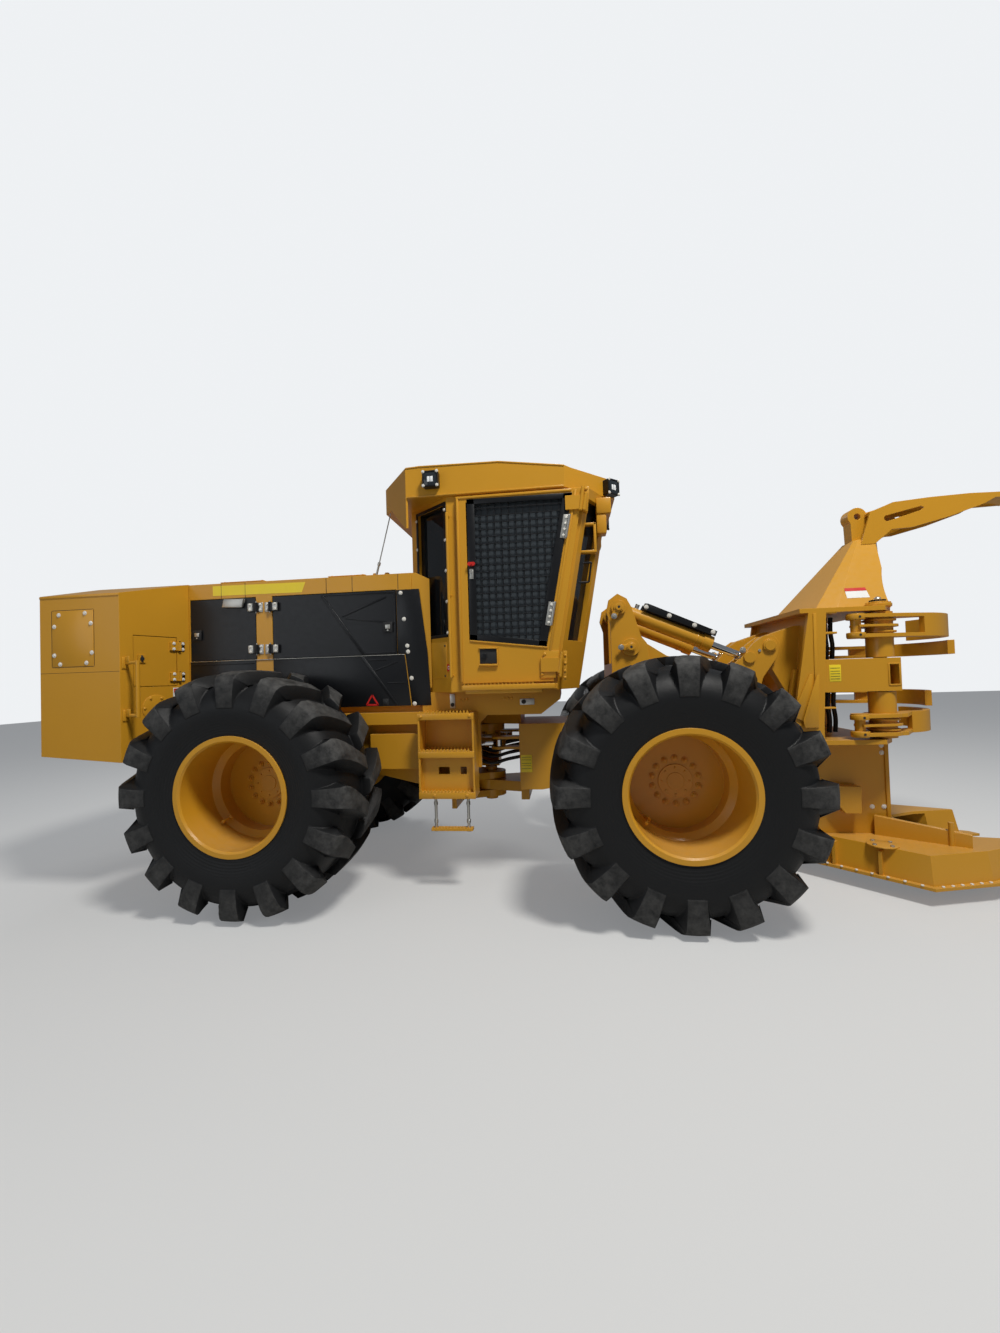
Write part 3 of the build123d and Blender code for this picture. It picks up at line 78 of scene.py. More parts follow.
# %% Camera at the photograph's angle
cam_data = bpy.data.cameras.new("photo_camera")
cam = bpy.data.objects.new("photo_camera", cam_data)
bpy.context.scene.collection.objects.link(cam)
bpy.context.scene.camera = cam
yaw, pitch, roll = 0.1244, -0.0218, -0.0304
FOCAL_PX = 515.0
PHOTO_HEIGHT_PX = 1333
SENSOR_MM = 36
CAMERA_FROM_AXLE = (2.4009, -4.8801, 1.7061)
ahead = Vector((-math.sin(yaw), math.cos(yaw), 0))
right = Vector((math.cos(yaw), math.sin(yaw), 0))
up = Vector((0, 0, 1))
look = ahead * math.cos(pitch) - up * math.sin(pitch)
lift = up * math.cos(pitch) + ahead * math.sin(pitch)
cam_right = right * math.cos(roll) + lift * math.sin(roll)
cam_up = lift * math.cos(roll) - right * math.sin(roll)
cam.matrix_world = Matrix((
    (cam_right.x, cam_up.x, -look.x, REAR_AXLE + CAMERA_FROM_AXLE[0]),
    (cam_right.y, cam_up.y, -look.y, CAMERA_FROM_AXLE[1]),
    (cam_right.z, cam_up.z, -look.z, CAMERA_FROM_AXLE[2]),
    (0, 0, 0, 1),
))
cam_data.sensor_fit = "VERTICAL"
cam_data.sensor_height = SENSOR_MM
cam_data.lens = FOCAL_PX * SENSOR_MM / PHOTO_HEIGHT_PX
cam_data.clip_end = 200
print("camera at", [round(v, 2) for v in cam.location], "lens", round(cam_data.lens, 2))

# %% [markdown]
# ## Studio
#
# A pale floor, a pale backdrop that only the camera sees, one strong key light high on the right,
# a weak fill and a rim light from behind. The world itself is dim, so the shadows stay deep.

# %% Floor, background and lights
FLOOR_COLOR = (0.50, 0.50, 0.49, 1)
FLOOR_GLOW = 0.22
WORLD_STRENGTH = 0.20
BACKDROP_COLOR = (0.86, 0.88, 0.90, 1)
bpy.ops.mesh.primitive_plane_add(size=60, location=(0, 0, 0))
floor = bpy.context.active_object
floor.name = "studio_floor"


def nodes_of(material):
    """A material's shader nodes, a function that links two sockets, and the main shader."""
    material.use_nodes = True
    tree = material.node_tree
    return tree.nodes, tree.links.new, tree.nodes["Principled BSDF"]


floor_mat = bpy.data.materials.new("studio_floor")
nodes, link, bsdf = nodes_of(floor_mat)
bsdf.inputs["Base Color"].default_value = FLOOR_COLOR
bsdf.inputs["Roughness"].default_value = 0.85
# The camera alone sees a faint glow on the floor, which keeps it pale far from the lamps
seen = nodes.new("ShaderNodeLightPath")
glow = nodes.new("ShaderNodeMath")
glow.operation = "MULTIPLY"
glow.inputs[1].default_value = FLOOR_GLOW
link(seen.outputs["Is Camera Ray"], glow.inputs[0])
bsdf.inputs["Emission Color"].default_value = (0.9, 0.92, 0.95, 1)
link(glow.outputs[0], bsdf.inputs["Emission Strength"])
floor.data.materials.append(floor_mat)

world = bpy.data.worlds.new("studio")
bpy.context.scene.world = world
world.use_nodes = True
tree = world.node_tree
background = tree.nodes["Background"]
background.inputs["Color"].default_value = (0.78, 0.84, 0.92, 1)
background.inputs["Strength"].default_value = WORLD_STRENGTH
backdrop = tree.nodes.new("ShaderNodeBackground")
backdrop.inputs["Color"].default_value = BACKDROP_COLOR
backdrop.inputs["Strength"].default_value = 1.0
path = tree.nodes.new("ShaderNodeLightPath")
mix = tree.nodes.new("ShaderNodeMixShader")
either = tree.nodes.new("ShaderNodeMath")
either.operation = "MAXIMUM"
tree.links.new(path.outputs["Is Camera Ray"], either.inputs[0])
tree.links.new(path.outputs["Is Transmission Ray"], either.inputs[1])
tree.links.new(either.outputs[0], mix.inputs["Fac"])
tree.links.new(background.outputs[0], mix.inputs[1])
tree.links.new(backdrop.outputs[0], mix.inputs[2])
tree.links.new(mix.outputs[0], tree.nodes["World Output"].inputs["Surface"])


def area_light(name, spot, target, size, power, color=(1, 1, 1)):
    data = bpy.data.lights.new(name, "AREA")
    data.shape = "DISK"
    data.size = size
    data.energy = power
    data.color = color
    lamp = bpy.data.objects.new(name, data)
    bpy.context.scene.collection.objects.link(lamp)
    lamp.location = spot
    lamp.rotation_euler = (Vector(target) - Vector(spot)).to_track_quat("-Z", "Y").to_euler()


area_light("key", (3.2, -5.2, 11.0), (0.5, 0, 1.2), 2.2, 1050, (1.0, 0.98, 0.94))
area_light("fill", (-6.0, -7.0, 3.5), (-0.5, 0, 1.2), 5.0, 70, (0.92, 0.96, 1.0))
area_light("rim", (-3.0, 7.0, 8.0), (0, 0, 1.5), 5.0, 220, (1.0, 1.0, 1.0))
bpy.context.scene.view_settings.view_transform = "Standard"
print("studio ready")

# %% [markdown]
# ## Paints and other finishes
#
# All finishes are made of nodes. Paint gets three layers: a slow change of colour over the panel,
# dust that settles on faces that look up, and edges that read as rounded because a Bevel node
# bends their normals. Comparing that bent normal with the true one also finds the edges, where
# paint is thinner and a little brighter.


# %% Paint recipe
MIX_A, MIX_B, MIX_RESULT = 6, 7, 2
DUST_COLOR = (0.50, 0.46, 0.40, 1)


def new_node(nodes, kind, values=None, **settings):
    """New shader node; values are its inputs by name or number, settings its own options."""
    node = nodes.new("ShaderNode" + kind)
    for key, item in settings.items():
        setattr(node, key, item)
    for key, item in (values or {}).items():
        node.inputs[key].default_value = item
    return node


def paint(name, color, rough, dust, edge=1.35, peel=0.03, coat=0.12, metallic=0.0):
    """Painted or plated metal: slow tone, worn edges, dust on what looks up, fine grain."""
    mat = bpy.data.materials.new(name)
    nodes, link, bsdf = nodes_of(mat)
    where = new_node(nodes, "TexCoord")
    slow = new_node(nodes, "TexNoise", {"Scale": 1.3, "Detail": 3})
    link(where.outputs["Object"], slow.inputs["Vector"])
    tone = new_node(
        nodes, "Mix",
        {MIX_A: (*[c * 0.93 for c in color], 1), MIX_B: (*[min(1, c * 1.06) for c in color], 1)},
        data_type="RGBA",
    )
    link(slow.outputs["Fac"], tone.inputs[0])
    soft = new_node(nodes, "Bevel", {"Radius": 0.004}, samples=4)
    geometry = new_node(nodes, "NewGeometry")
    same = new_node(nodes, "VectorMath", operation="DOT_PRODUCT")
    link(soft.outputs["Normal"], same.inputs[0])
    link(geometry.outputs["Normal"], same.inputs[1])
    edges = new_node(nodes, "MapRange", {"From Min": 0.99, "From Max": 0.86})
    link(same.outputs["Value"], edges.inputs["Value"])
    worn = new_node(
        nodes, "Mix", {MIX_B: (*[min(1, c * edge + 0.01) for c in color], 1)}, data_type="RGBA",
    )
    link(edges.outputs["Result"], worn.inputs[0])
    link(tone.outputs[MIX_RESULT], worn.inputs[MIX_A])
    # Dust on what looks up, broken by a fine noise
    split = new_node(nodes, "SeparateXYZ")
    link(geometry.outputs["Normal"], split.inputs[0])
    upward = new_node(nodes, "MapRange", {"From Min": 0.35, "From Max": 1.0, "To Max": dust})
    link(split.outputs["Z"], upward.inputs["Value"])
    grit = new_node(nodes, "TexNoise", {"Scale": 26, "Detail": 6})
    link(where.outputs["Object"], grit.inputs["Vector"])
    amount = new_node(nodes, "Math", operation="MULTIPLY")
    link(upward.outputs["Result"], amount.inputs[0])
    link(grit.outputs["Fac"], amount.inputs[1])
    dusty = new_node(nodes, "Mix", {MIX_B: DUST_COLOR}, data_type="RGBA")
    link(amount.outputs[0], dusty.inputs[0])
    link(worn.outputs[MIX_RESULT], dusty.inputs[MIX_A])
    link(dusty.outputs[MIX_RESULT], bsdf.inputs["Base Color"])
    shine = new_node(nodes, "MapRange", {"To Min": rough * 0.8, "To Max": rough * 1.35})
    link(grit.outputs["Fac"], shine.inputs["Value"])
    link(shine.outputs["Result"], bsdf.inputs["Roughness"])
    bump = new_node(nodes, "Bump", {"Strength": peel, "Distance": 0.004})
    fine = new_node(nodes, "TexNoise", {"Scale": 160})
    link(where.outputs["Object"], fine.inputs["Vector"])
    link(fine.outputs["Fac"], bump.inputs["Height"])
    link(soft.outputs["Normal"], bump.inputs["Normal"])
    link(bump.outputs["Normal"], bsdf.inputs["Normal"])
    bsdf.inputs["Coat Weight"].default_value = coat
    bsdf.inputs["Specular IOR Level"].default_value = 0.35
    bsdf.inputs["Coat Roughness"].default_value = 0.12
    bsdf.inputs["Metallic"].default_value = metallic
    return mat


YELLOW = (0.62, 0.30, 0.020)
yellow = paint("yellow_paint", YELLOW, 0.30, 0.20, peel=0.05)
black = paint("black_paint", (0.006, 0.0065, 0.008), 0.34, 0.06, edge=2.2, peel=0.05, coat=0.05)
plastic = paint("dark_plastic", (0.022, 0.022, 0.023), 0.55, 0.12, edge=1.6, peel=0.2, coat=0.0)
zinc = paint("zinc_plate", (0.55, 0.54, 0.50), 0.36, 0.1, edge=1.2, coat=0.0, metallic=0.85)
chrome = paint("chrome_rod", (0.75, 0.75, 0.76), 0.08, 0.02, edge=1.05, peel=0.01, coat=0.0, metallic=1.0)
saw_steel = paint("saw_steel", (0.35, 0.34, 0.32), 0.34, 0.2, edge=1.5, peel=0.15, coat=0.0, metallic=0.9)
print("paints ready")

# %% [markdown]
# The tyres are new. Each gets two finishes from one recipe: black rubber for the walls and the
# lugs' flanks, and a dustier one for the lugs' tops. The dust grows with the distance from the
# axle, so each tyre gets the recipe with its own axle.


# %% Tyre rubber
def rubber(name, centre, dusty):
    """Tyre rubber round an axle; the dusty one is for the lugs' tops."""
    mat = bpy.data.materials.new(name)
    nodes, link, bsdf = nodes_of(mat)
    where = new_node(nodes, "TexCoord")
    off = new_node(nodes, "VectorMath", {1: centre}, operation="SUBTRACT")
    link(where.outputs["Object"], off.inputs[0])
    flat = new_node(nodes, "VectorMath", {1: (1, 0, 1)}, operation="MULTIPLY")
    link(off.outputs[0], flat.inputs[0])
    reach = new_node(nodes, "VectorMath", operation="LENGTH")
    link(flat.outputs[0], reach.inputs[0])
    tread = new_node(
        nodes, "MapRange", {"From Min": 0.50 if dusty else 0.84, "From Max": 0.86 if dusty else 0.92},
    )
    link(reach.outputs["Value"], tread.inputs["Value"])
    grit = new_node(nodes, "TexNoise", {"Scale": 14, "Detail": 8, "Roughness": 0.7})
    link(where.outputs["Object"], grit.inputs["Vector"])
    spread = new_node(nodes, "MapRange", {"From Min": 0.3, "From Max": 0.75})
    link(grit.outputs["Fac"], spread.inputs["Value"])
    mask = new_node(nodes, "Math", operation="MULTIPLY")
    link(tread.outputs["Result"], mask.inputs[0])
    link(spread.outputs["Result"], mask.inputs[1])
    film = new_node(nodes, "Math", {1: 0.95 if dusty else 0.12, 2: 0.03}, operation="MULTIPLY_ADD")
    link(mask.outputs[0], film.inputs[0])
    shade = new_node(
        nodes, "Mix", {MIX_A: (0.006, 0.0065, 0.0075, 1), MIX_B: (0.11, 0.108, 0.104, 1)},
        data_type="RGBA",
    )
    link(film.outputs[0], shade.inputs[0])
    link(shade.outputs[MIX_RESULT], bsdf.inputs["Base Color"])
    dull = new_node(nodes, "MapRange", {"To Min": 0.46, "To Max": 0.9})
    link(film.outputs[0], dull.inputs["Value"])
    link(dull.outputs["Result"], bsdf.inputs["Roughness"])
    soft = new_node(nodes, "Bevel", {"Radius": 0.012}, samples=4)
    # Fine moulding rings on the sidewall, and a soft grain all over
    rings = new_node(nodes, "Math", operation="SINE")
    spin = new_node(nodes, "Math", {1: 320}, operation="MULTIPLY")
    link(reach.outputs["Value"], spin.inputs[0])
    link(spin.outputs[0], rings.inputs[0])
    wall_zone = new_node(nodes, "MapRange", {"From Min": 0.60, "From Max": 0.50})
    link(reach.outputs["Value"], wall_zone.inputs["Value"])
    ring_height = new_node(nodes, "Math", operation="MULTIPLY")
    link(rings.outputs[0], ring_height.inputs[0])
    link(wall_zone.outputs["Result"], ring_height.inputs[1])
    grain = new_node(nodes, "TexNoise", {"Scale": 220})
    link(where.outputs["Object"], grain.inputs["Vector"])
    height = new_node(nodes, "Math", {1: 0.5}, operation="MULTIPLY_ADD")
    link(ring_height.outputs[0], height.inputs[0])
    link(grain.outputs["Fac"], height.inputs[2])
    bump = new_node(nodes, "Bump", {"Strength": 0.35, "Distance": 0.004})
    link(height.outputs[0], bump.inputs["Height"])
    link(soft.outputs["Normal"], bump.inputs["Normal"])
    link(bump.outputs["Normal"], bsdf.inputs["Normal"])
    bsdf.inputs["Specular IOR Level"].default_value = 0.25
    return mat


# %% Glass, cloth and lenses
def plain(name, color, rough, alpha=1.0):
    """Smooth finish with a slight haze, for glass, labels, bolts and cloth."""
    mat = bpy.data.materials.new(name)
    nodes, link, bsdf = nodes_of(mat)
    where = new_node(nodes, "TexCoord")
    haze = new_node(nodes, "TexNoise", {"Scale": 9, "Detail": 5})
    link(where.outputs["Object"], haze.inputs["Vector"])
    tone = new_node(
        nodes, "Mix", {MIX_A: (*color, 1), MIX_B: (*[min(1, c * 1.15 + 0.004) for c in color], 1)},
        data_type="RGBA",
    )
    link(haze.outputs["Fac"], tone.inputs[0])
    link(tone.outputs[MIX_RESULT], bsdf.inputs["Base Color"])
    span = new_node(nodes, "MapRange", {"To Min": rough * 0.7, "To Max": rough * 1.4})
    link(haze.outputs["Fac"], span.inputs["Value"])
    link(span.outputs["Result"], bsdf.inputs["Roughness"])
    bsdf.inputs["Alpha"].default_value = alpha
    return mat


glass = plain("dark_glass", (0.010, 0.012, 0.014), 0.03, alpha=0.86)
lens = plain("lamp_lens", (0.85, 0.88, 0.9), 0.08)
lamp_glass = plain("lamp_glass", (0.02, 0.025, 0.03), 0.06)
# The door's pane is tinted paler than the other glass; that extra lightness is a painted reflection, so
# the black mesh shows against it.
door_pane_painted_reflection = plain("door_pane_painted_reflection", (0.05, 0.06, 0.068), 0.04, alpha=0.88)
rubber_hose = plain("hose_rubber", (0.008, 0.008, 0.009), 0.45)
bolt_white = plain("white_bolt", (0.72, 0.70, 0.64), 0.3)
red_label = plain("red_label", (0.55, 0.015, 0.01), 0.35)
white_label = plain("white_label", (0.75, 0.75, 0.72), 0.4)
yellow_label = plain("yellow_label", (0.82, 0.62, 0.02), 0.4)
cloth = plain("seat_cloth", (0.03, 0.03, 0.033), 0.9)
print("finishes ready")

# %% [markdown]
# ## Finishes on the CAD parts
#
# Each CAD node keeps its shape here and only gets a better material. The table says which finish
# belongs to each slot of the record. The tail doors, the barrels, the tyres and the door's pane
# get a finish of their own.

# %% Assign finishes
finish_of_slot = {
    "yellow_paint": yellow,
    "wheel_paint": yellow,
    "black_paint": black,
    "chrome_rod": chrome,
    "dark_glass": glass,
    "seat_cloth": cloth,
    "dark_plastic": plastic,
    "lamp_housing": black,
    "saw_steel": saw_steel,
}
slot_of_node = {row["node"]: row["material_slot"] for row in frame["record"]["subparts"]}
HALF_TRACK = 1112.5
TYRE_RADIUS = 912
axle_of = {
    "rear_right": at(0, -HALF_TRACK, TYRE_RADIUS),
    "rear_left": at(0, HALF_TRACK, TYRE_RADIUS),
    "front_right": at(WHEELBASE, -HALF_TRACK, TYRE_RADIUS),
    "front_left": at(WHEELBASE, HALF_TRACK, TYRE_RADIUS),
}
for name, obj in frame["nodes"].items():
    slot_name = slot_of_node.get(name, "yellow_paint")
    if name.startswith("tyre_"):
        material = black
    else:
        material = finish_of_slot[slot_name]
    if name in ("tail_door_right", "tail_door_left") or "_barrel" in name:
        material = yellow
    # The door's pane gets the paler glass with its painted reflection.
    if name == "door_glass":
        material = door_pane_painted_reflection
    for slot in obj.material_slots:
        slot.material = material
print("finishes on", len(frame["nodes"]), "nodes")

# %% [markdown]
# ## Small tools for modelling
#
# The next helpers only wrap Blender's own operators: add a primitive, place it in millimetres from
# the rear axle, join like pieces into one object, and hand the object to the body it rides on.
# Every finished object sits at the origin with its place in its mesh.


# %% Helpers
def clear_selection():
    if bpy.context.mode != "OBJECT":
        bpy.ops.object.mode_set(mode="OBJECT")
    bpy.ops.object.select_all(action="DESELECT")


def active(obj):
    clear_selection()
    obj.select_set(True)
    bpy.context.view_layer.objects.active = obj


def settle(obj):
    """Move an object's place and turn into its mesh."""
    active(obj)
    bpy.ops.object.transform_apply(location=True, rotation=True, scale=True)
    return obj


def box(x0, x1, y0, y1, z0, z1):
    clear_selection()
    middle = at((x0 + x1) / 2, (y0 + y1) / 2, (z0 + z1) / 2)
    bpy.ops.mesh.primitive_cube_add(size=1, location=middle)
    obj = bpy.context.active_object
    obj.scale = (abs(x1 - x0) / 1000, abs(y1 - y0) / 1000, abs(z1 - z0) / 1000)
    return settle(obj)


def rod(start, end, radius, sides=20):
    """Round bar between two points given in millimetres from the rear axle."""
    a, b = at(*start), at(*end)
    clear_selection()
    bpy.ops.mesh.primitive_cylinder_add(
        vertices=sides, radius=radius / 1000, depth=(b - a).length, location=(a + b) / 2,
    )
    obj = bpy.context.active_object
    obj.rotation_euler = (b - a).to_track_quat("Z", "Y").to_euler()
    return settle(obj)


def ball(centre, radius):
    clear_selection()
    bpy.ops.mesh.primitive_uv_sphere_add(
        segments=16, ring_count=10, radius=radius / 1000, location=at(*centre),
    )
    return settle(bpy.context.active_object)


def joined(name, objs):
    """One object made of all the given ones."""
    clear_selection()
    for obj in objs:
        obj.select_set(True)
    bpy.context.view_layer.objects.active = objs[0]
    if len(objs) > 1:
        bpy.ops.object.join()
    obj = bpy.context.active_object
    obj.name = name
    obj.data.name = name
    return obj


def bevel(obj, width, segments=2):
    """Round the sharp edges by a width in millimetres."""
    active(obj)
    modifier = obj.modifiers.new("round", "BEVEL")
    modifier.width = width / 1000
    modifier.segments = segments
    modifier.limit_method = "ANGLE"
    bpy.ops.object.modifier_apply(modifier="round")
    return obj


def dress(obj, body, material, slot, angle=40):
    """Finish, smoothing and body of a new piece; the slot argument is not used."""
    kept = [polygon.material_index for polygon in obj.data.polygons]
    obj.data.materials.clear()
    obj.data.materials.append(material)
    if obj.name.startswith("moulded_tyre"):
        obj.data.polygons.foreach_set("material_index", kept)
    active(obj)
    bpy.ops.object.shade_smooth_by_angle(angle=math.radians(angle))
    if body:
        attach(obj, body)
    return obj


def lathe(profile, steps):
    """Body of revolution round the Y axis through the origin, profile as (y, radius) in millimetres."""
    clear_selection()
    bpy.ops.mesh.primitive_plane_add(size=0.001)
    obj = bpy.context.active_object
    bpy.ops.object.mode_set(mode="EDIT")
    bpy.ops.mesh.select_all(action="SELECT")
    bpy.ops.mesh.merge(type="CENTER")
    y, radius = profile[0]
    bpy.ops.transform.translate(value=(0, y / 1000, radius / 1000))
    for (y0, r0), (y1, r1) in zip(profile, profile[1:]):
        bpy.ops.mesh.extrude_region_move(
            TRANSFORM_OT_translate={"value": (0, (y1 - y0) / 1000, (r1 - r0) / 1000)}
        )
    bpy.ops.mesh.select_all(action="SELECT")
    bpy.ops.mesh.spin(steps=steps, angle=2 * math.pi, center=(0, 0, 0), axis=(0, 1, 0))
    bpy.ops.mesh.select_all(action="SELECT")
    bpy.ops.mesh.remove_doubles(threshold=0.0002)
    bpy.ops.mesh.normals_make_consistent(inside=False)
    bpy.ops.object.mode_set(mode="OBJECT")
    return obj


print("helpers ready")

# %% [markdown]
# ## Tyres
#
# A forestry tyre is a smooth carcass with tall chevron lugs that run over the shoulder and down
# the sidewall. The carcass is a profile spun round the axle. One lug starts as a flat grid; each
# point of the grid is wrapped along the lug's path, which starts at the crown, sweeps back to the
# shoulder and then turns down the sidewall. Solidify gives it depth and a bevel gives the moulded
# edge. Sixteen lugs a side, the two sides half a pitch apart, make the tread.

# %% One tyre, then four
CARCASS = [
    (-300, 412), (-343, 424), (-349, 445), (-353, 478), (-370, 530), (-381, 580), (-386, 620), (-383, 660),
    (-370, 700), (-345, 745), (-310, 785), (-250, 815), (-150, 835), (0, 842),
]
CARCASS += [(-y, r) for y, r in reversed(CARCASS[:-1])]
# Columns: distance from the tyre's middle, radius, width of the lug
LUG_PATH = [
    (-6, 910.7, 106), (-90, 910.7, 112), (-170, 909, 126), (-250, 903, 146), (-310, 893, 162),
    (-352, 876, 166), (-378, 850, 156), (-388, 810, 142), (-391, 760, 132), (-391, 700, 124),
    (-389, 640, 118),
]
LUGS_A_SIDE = 16
LUG_SWEEP = 176  # how far a lug leans back at the crown, millimetres round the tyre
LUG_DEPTH = 0.09  # metres
SHOULDER = 345  # distance from the tyre's middle where the sweep ends
WALL_RADIUS = 850  # below this radius a lug runs straight to the axle
LUG_TOP = bpy.data.materials.new("lug_top")
RUBBER = bpy.data.materials.new("rubber")


def wrap_lug():
    """One lug of the outer side, standing at the top of the tyre."""
    clear_selection()
    rows = len(LUG_PATH)
    bpy.ops.mesh.primitive_grid_add(x_subdivisions=rows - 1, y_subdivisions=4, size=1)
    obj = bpy.context.active_object
    flanks = [2 * vertex.co.y for vertex in obj.data.vertices]
    for vertex in obj.data.vertices:
        step = round((vertex.co.x + 0.5) * (rows - 1))
        y, radius, width = LUG_PATH[step]
        sweep = LUG_SWEEP * max(0, 1 - abs(y) / SHOULDER) ** 1.15
        turn = (sweep + vertex.co.y * width) / TYRE_RADIUS
        if radius < WALL_RADIUS:
            turn = vertex.co.y * width / radius
        vertex.co = (radius / 1000 * math.sin(turn), y / 1000, radius / 1000 * math.cos(turn))
    obj.data.materials.append(LUG_TOP)
    obj.data.materials.append(RUBBER)
    active(obj)
    solid = obj.modifiers.new("depth", "SOLIDIFY")
    solid.thickness = LUG_DEPTH
    solid.offset = -1
    solid.material_offset = 1
    solid.material_offset_rim = 1
    bpy.ops.object.mode_set(mode="EDIT")
    bpy.ops.mesh.select_all(action="SELECT")
    bpy.ops.mesh.normals_make_consistent(inside=False)
    bpy.ops.object.mode_set(mode="OBJECT")
    up_facing = sum(p.normal.z for p in obj.data.polygons)
    if up_facing < 0:
        bpy.ops.object.mode_set(mode="EDIT")
        bpy.ops.mesh.flip_normals()
        bpy.ops.object.mode_set(mode="OBJECT")
    bpy.ops.object.modifier_apply(modifier="depth")
    # The lug's foot is wider than its top, most of all on the trailing side
    for flank, vertex in zip(flanks, list(obj.data.vertices)[len(flanks):]):
        lean = flank * (0.075 if flank > 0 else 0.03)
        x, z = vertex.co.x, vertex.co.z
        vertex.co.x = x * math.cos(lean) + z * math.sin(lean)
        vertex.co.z = z * math.cos(lean) - x * math.sin(lean)
    return bevel(obj, 7, 2)


def copies_round(obj, count, offset):
    """The object turned round the Y axis in equal steps."""
    out = []
    for i in range(count):
        twin = obj.copy()
        twin.data = obj.data.copy()
        bpy.context.scene.collection.objects.link(twin)
        twin.rotation_euler = (0, (i + offset) * 2 * math.pi / count, 0)
        out.append(twin)
    return out


def mirrored(obj):
    """Copy of an object on the other side of the middle plane."""
    twin = obj.copy()
    twin.data = obj.data.copy()
    bpy.context.scene.collection.objects.link(twin)
    twin.scale.y = -1
    settle(twin)
    bpy.ops.object.mode_set(mode="EDIT")
    bpy.ops.mesh.select_all(action="SELECT")
    bpy.ops.mesh.normals_make_consistent(inside=False)
    bpy.ops.object.mode_set(mode="OBJECT")
    return twin


carcass = lathe(CARCASS, 96)
carcass.data.materials.append(RUBBER)
lug = wrap_lug()
lug_inner = mirrored(lug)
parts = [carcass] + copies_round(lug, LUGS_A_SIDE, 0) + copies_round(lug_inner, LUGS_A_SIDE, 0.5)
tyre_master = settle(joined("tyre_master", parts))
for spare in (lug, lug_inner):
    bpy.data.objects.remove(spare)

for name, axle in axle_of.items():
    hand = -1 if name.endswith("right") else 1
    tyre = tyre_master.copy()
    tyre.data = tyre_master.data.copy()
    bpy.context.scene.collection.objects.link(tyre)
    if hand > 0:
        twin = mirrored(tyre)
        bpy.data.objects.remove(tyre)
        tyre = twin
    tyre.location = axle
    settle(tyre)
    tyre.name = f"moulded_tyre_{name}"
    skins = {
        "lug_top": rubber(f"lug_top_{name}", axle, True),
        "rubber": rubber(f"rubber_{name}", axle, False),
    }
    first, *others = [skins[slot.material.name] for slot in tyre.material_slots]
    dress(tyre, f"wheel_{name}", first, "tyre", 35)
    for skin in others:
        tyre.data.materials.append(skin)
    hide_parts(f"tyre_{name}")
print("tyre triangles", sum(len(p.vertices) - 2 for p in tyre_master.data.polygons))
bpy.data.objects.remove(tyre_master)

# %% [markdown]
# The wheel discs carry a ring of stud nuts round the hub cap, a valve and the cap's own bolts.

# %% Wheel nuts, valve and cap bolts
DISC_FACE = 950
NUTS, NUT_RING = 14, 167
CAP_BOLTS, CAP_RING = 8, 98
for name in axle_of:
    hand = -1 if name.endswith("right") else 1
    x = 0 if name.startswith("rear") else WHEELBASE
    face = hand * DISC_FACE
    bits = []
    for i in range(NUTS):
        turn = 2 * math.pi * (i + 0.5) / NUTS
        px, pz = x + NUT_RING * math.cos(turn), TYRE_RADIUS + NUT_RING * math.sin(turn)
        bits.append(rod((px, face - hand * 2, pz), (px, face + hand * 8, pz), 24, 20))
        bits.append(rod((px, face, pz), (px, face + hand * 24, pz), 17, 6))
        bits.append(rod((px, face, pz), (px, face + hand * 34, pz), 9, 12))
    for i in range(CAP_BOLTS):
        turn = 2 * math.pi * i / CAP_BOLTS
        px, pz = x + CAP_RING * math.cos(turn), TYRE_RADIUS + CAP_RING * math.sin(turn)
        bits.append(rod((px, face + hand * 10, pz), (px, face + hand * 19, pz), 8, 6))
    bits.append(rod((x, face + hand * 10, TYRE_RADIUS), (x, face + hand * 17, TYRE_RADIUS), 62, 32))
    ring = bevel(joined(f"wheel_nuts_{name}", bits), 1.5, 1)
    dress(ring, f"wheel_{name}", yellow, "wheel_paint")
    root = (x - 229, hand * 1112, TYRE_RADIUS - 229)
    spot = (x - 235, hand * 1118, TYRE_RADIUS - 235)
    tip = (x - 250, hand * 1190, TYRE_RADIUS - 250)
    stem = joined(f"valve_{name}", [rod(spot, tip, 11), rod(root, spot, 26)])
    dress(stem, f"wheel_{name}", yellow, "wheel_paint")
print("wheel fittings ready")

# %% [markdown]
# ## Flat fittings on the body's faces
#
# Most small parts sit on an upright face of the machine. `surface()` gives such a face its own
# coordinates: u along it, v for the height, and a depth that counts outward. A flat piece starts as
# a filled circle whose points move to the outline and is extruded by its thickness.


# %% Faces and flat pieces
def surface(x, y, along, out):
    """Upright face through a plan point, as a function of u, height and depth, all millimetres."""
    def place(u, v, depth=0):
        return (x + along[0] * u + out[0] * depth, y + along[1] * u + out[1] * depth, v)
    return place


def side_face(y):
    """Face of the right-hand side at a given y."""
    return surface(0, y, (1, 0), (0, -1))


def prism(outline, place, depth0, depth1, round_by=0):
    """Flat piece with the given outline on a face, between two depths."""
    clear_selection()
    bpy.ops.mesh.primitive_circle_add(
        vertices=len(outline), radius=1, fill_type="NGON", location=(0, 0, 0),
    )
    obj = bpy.context.active_object
    for vertex, (u, v) in zip(obj.data.vertices, outline):
        vertex.co = at(*place(u, v, depth0))
    push = at(*place(*outline[0], depth1)) - at(*place(*outline[0], depth0))
    bpy.ops.object.mode_set(mode="EDIT")
    bpy.ops.mesh.select_all(action="SELECT")
    bpy.ops.mesh.extrude_region_move(TRANSFORM_OT_translate={"value": push})
    bpy.ops.mesh.select_all(action="SELECT")
    bpy.ops.mesh.normals_make_consistent(inside=False)
    bpy.ops.object.mode_set(mode="OBJECT")
    if round_by:
        bevel(obj, round_by, 2)
    return obj


def patch(u0, u1, v0, v1, place, depth0, depth1, round_by=0):
    """Flat rectangle on a face."""
    return prism([(u0, v0), (u1, v0), (u1, v1), (u0, v1)], place, depth0, depth1, round_by)


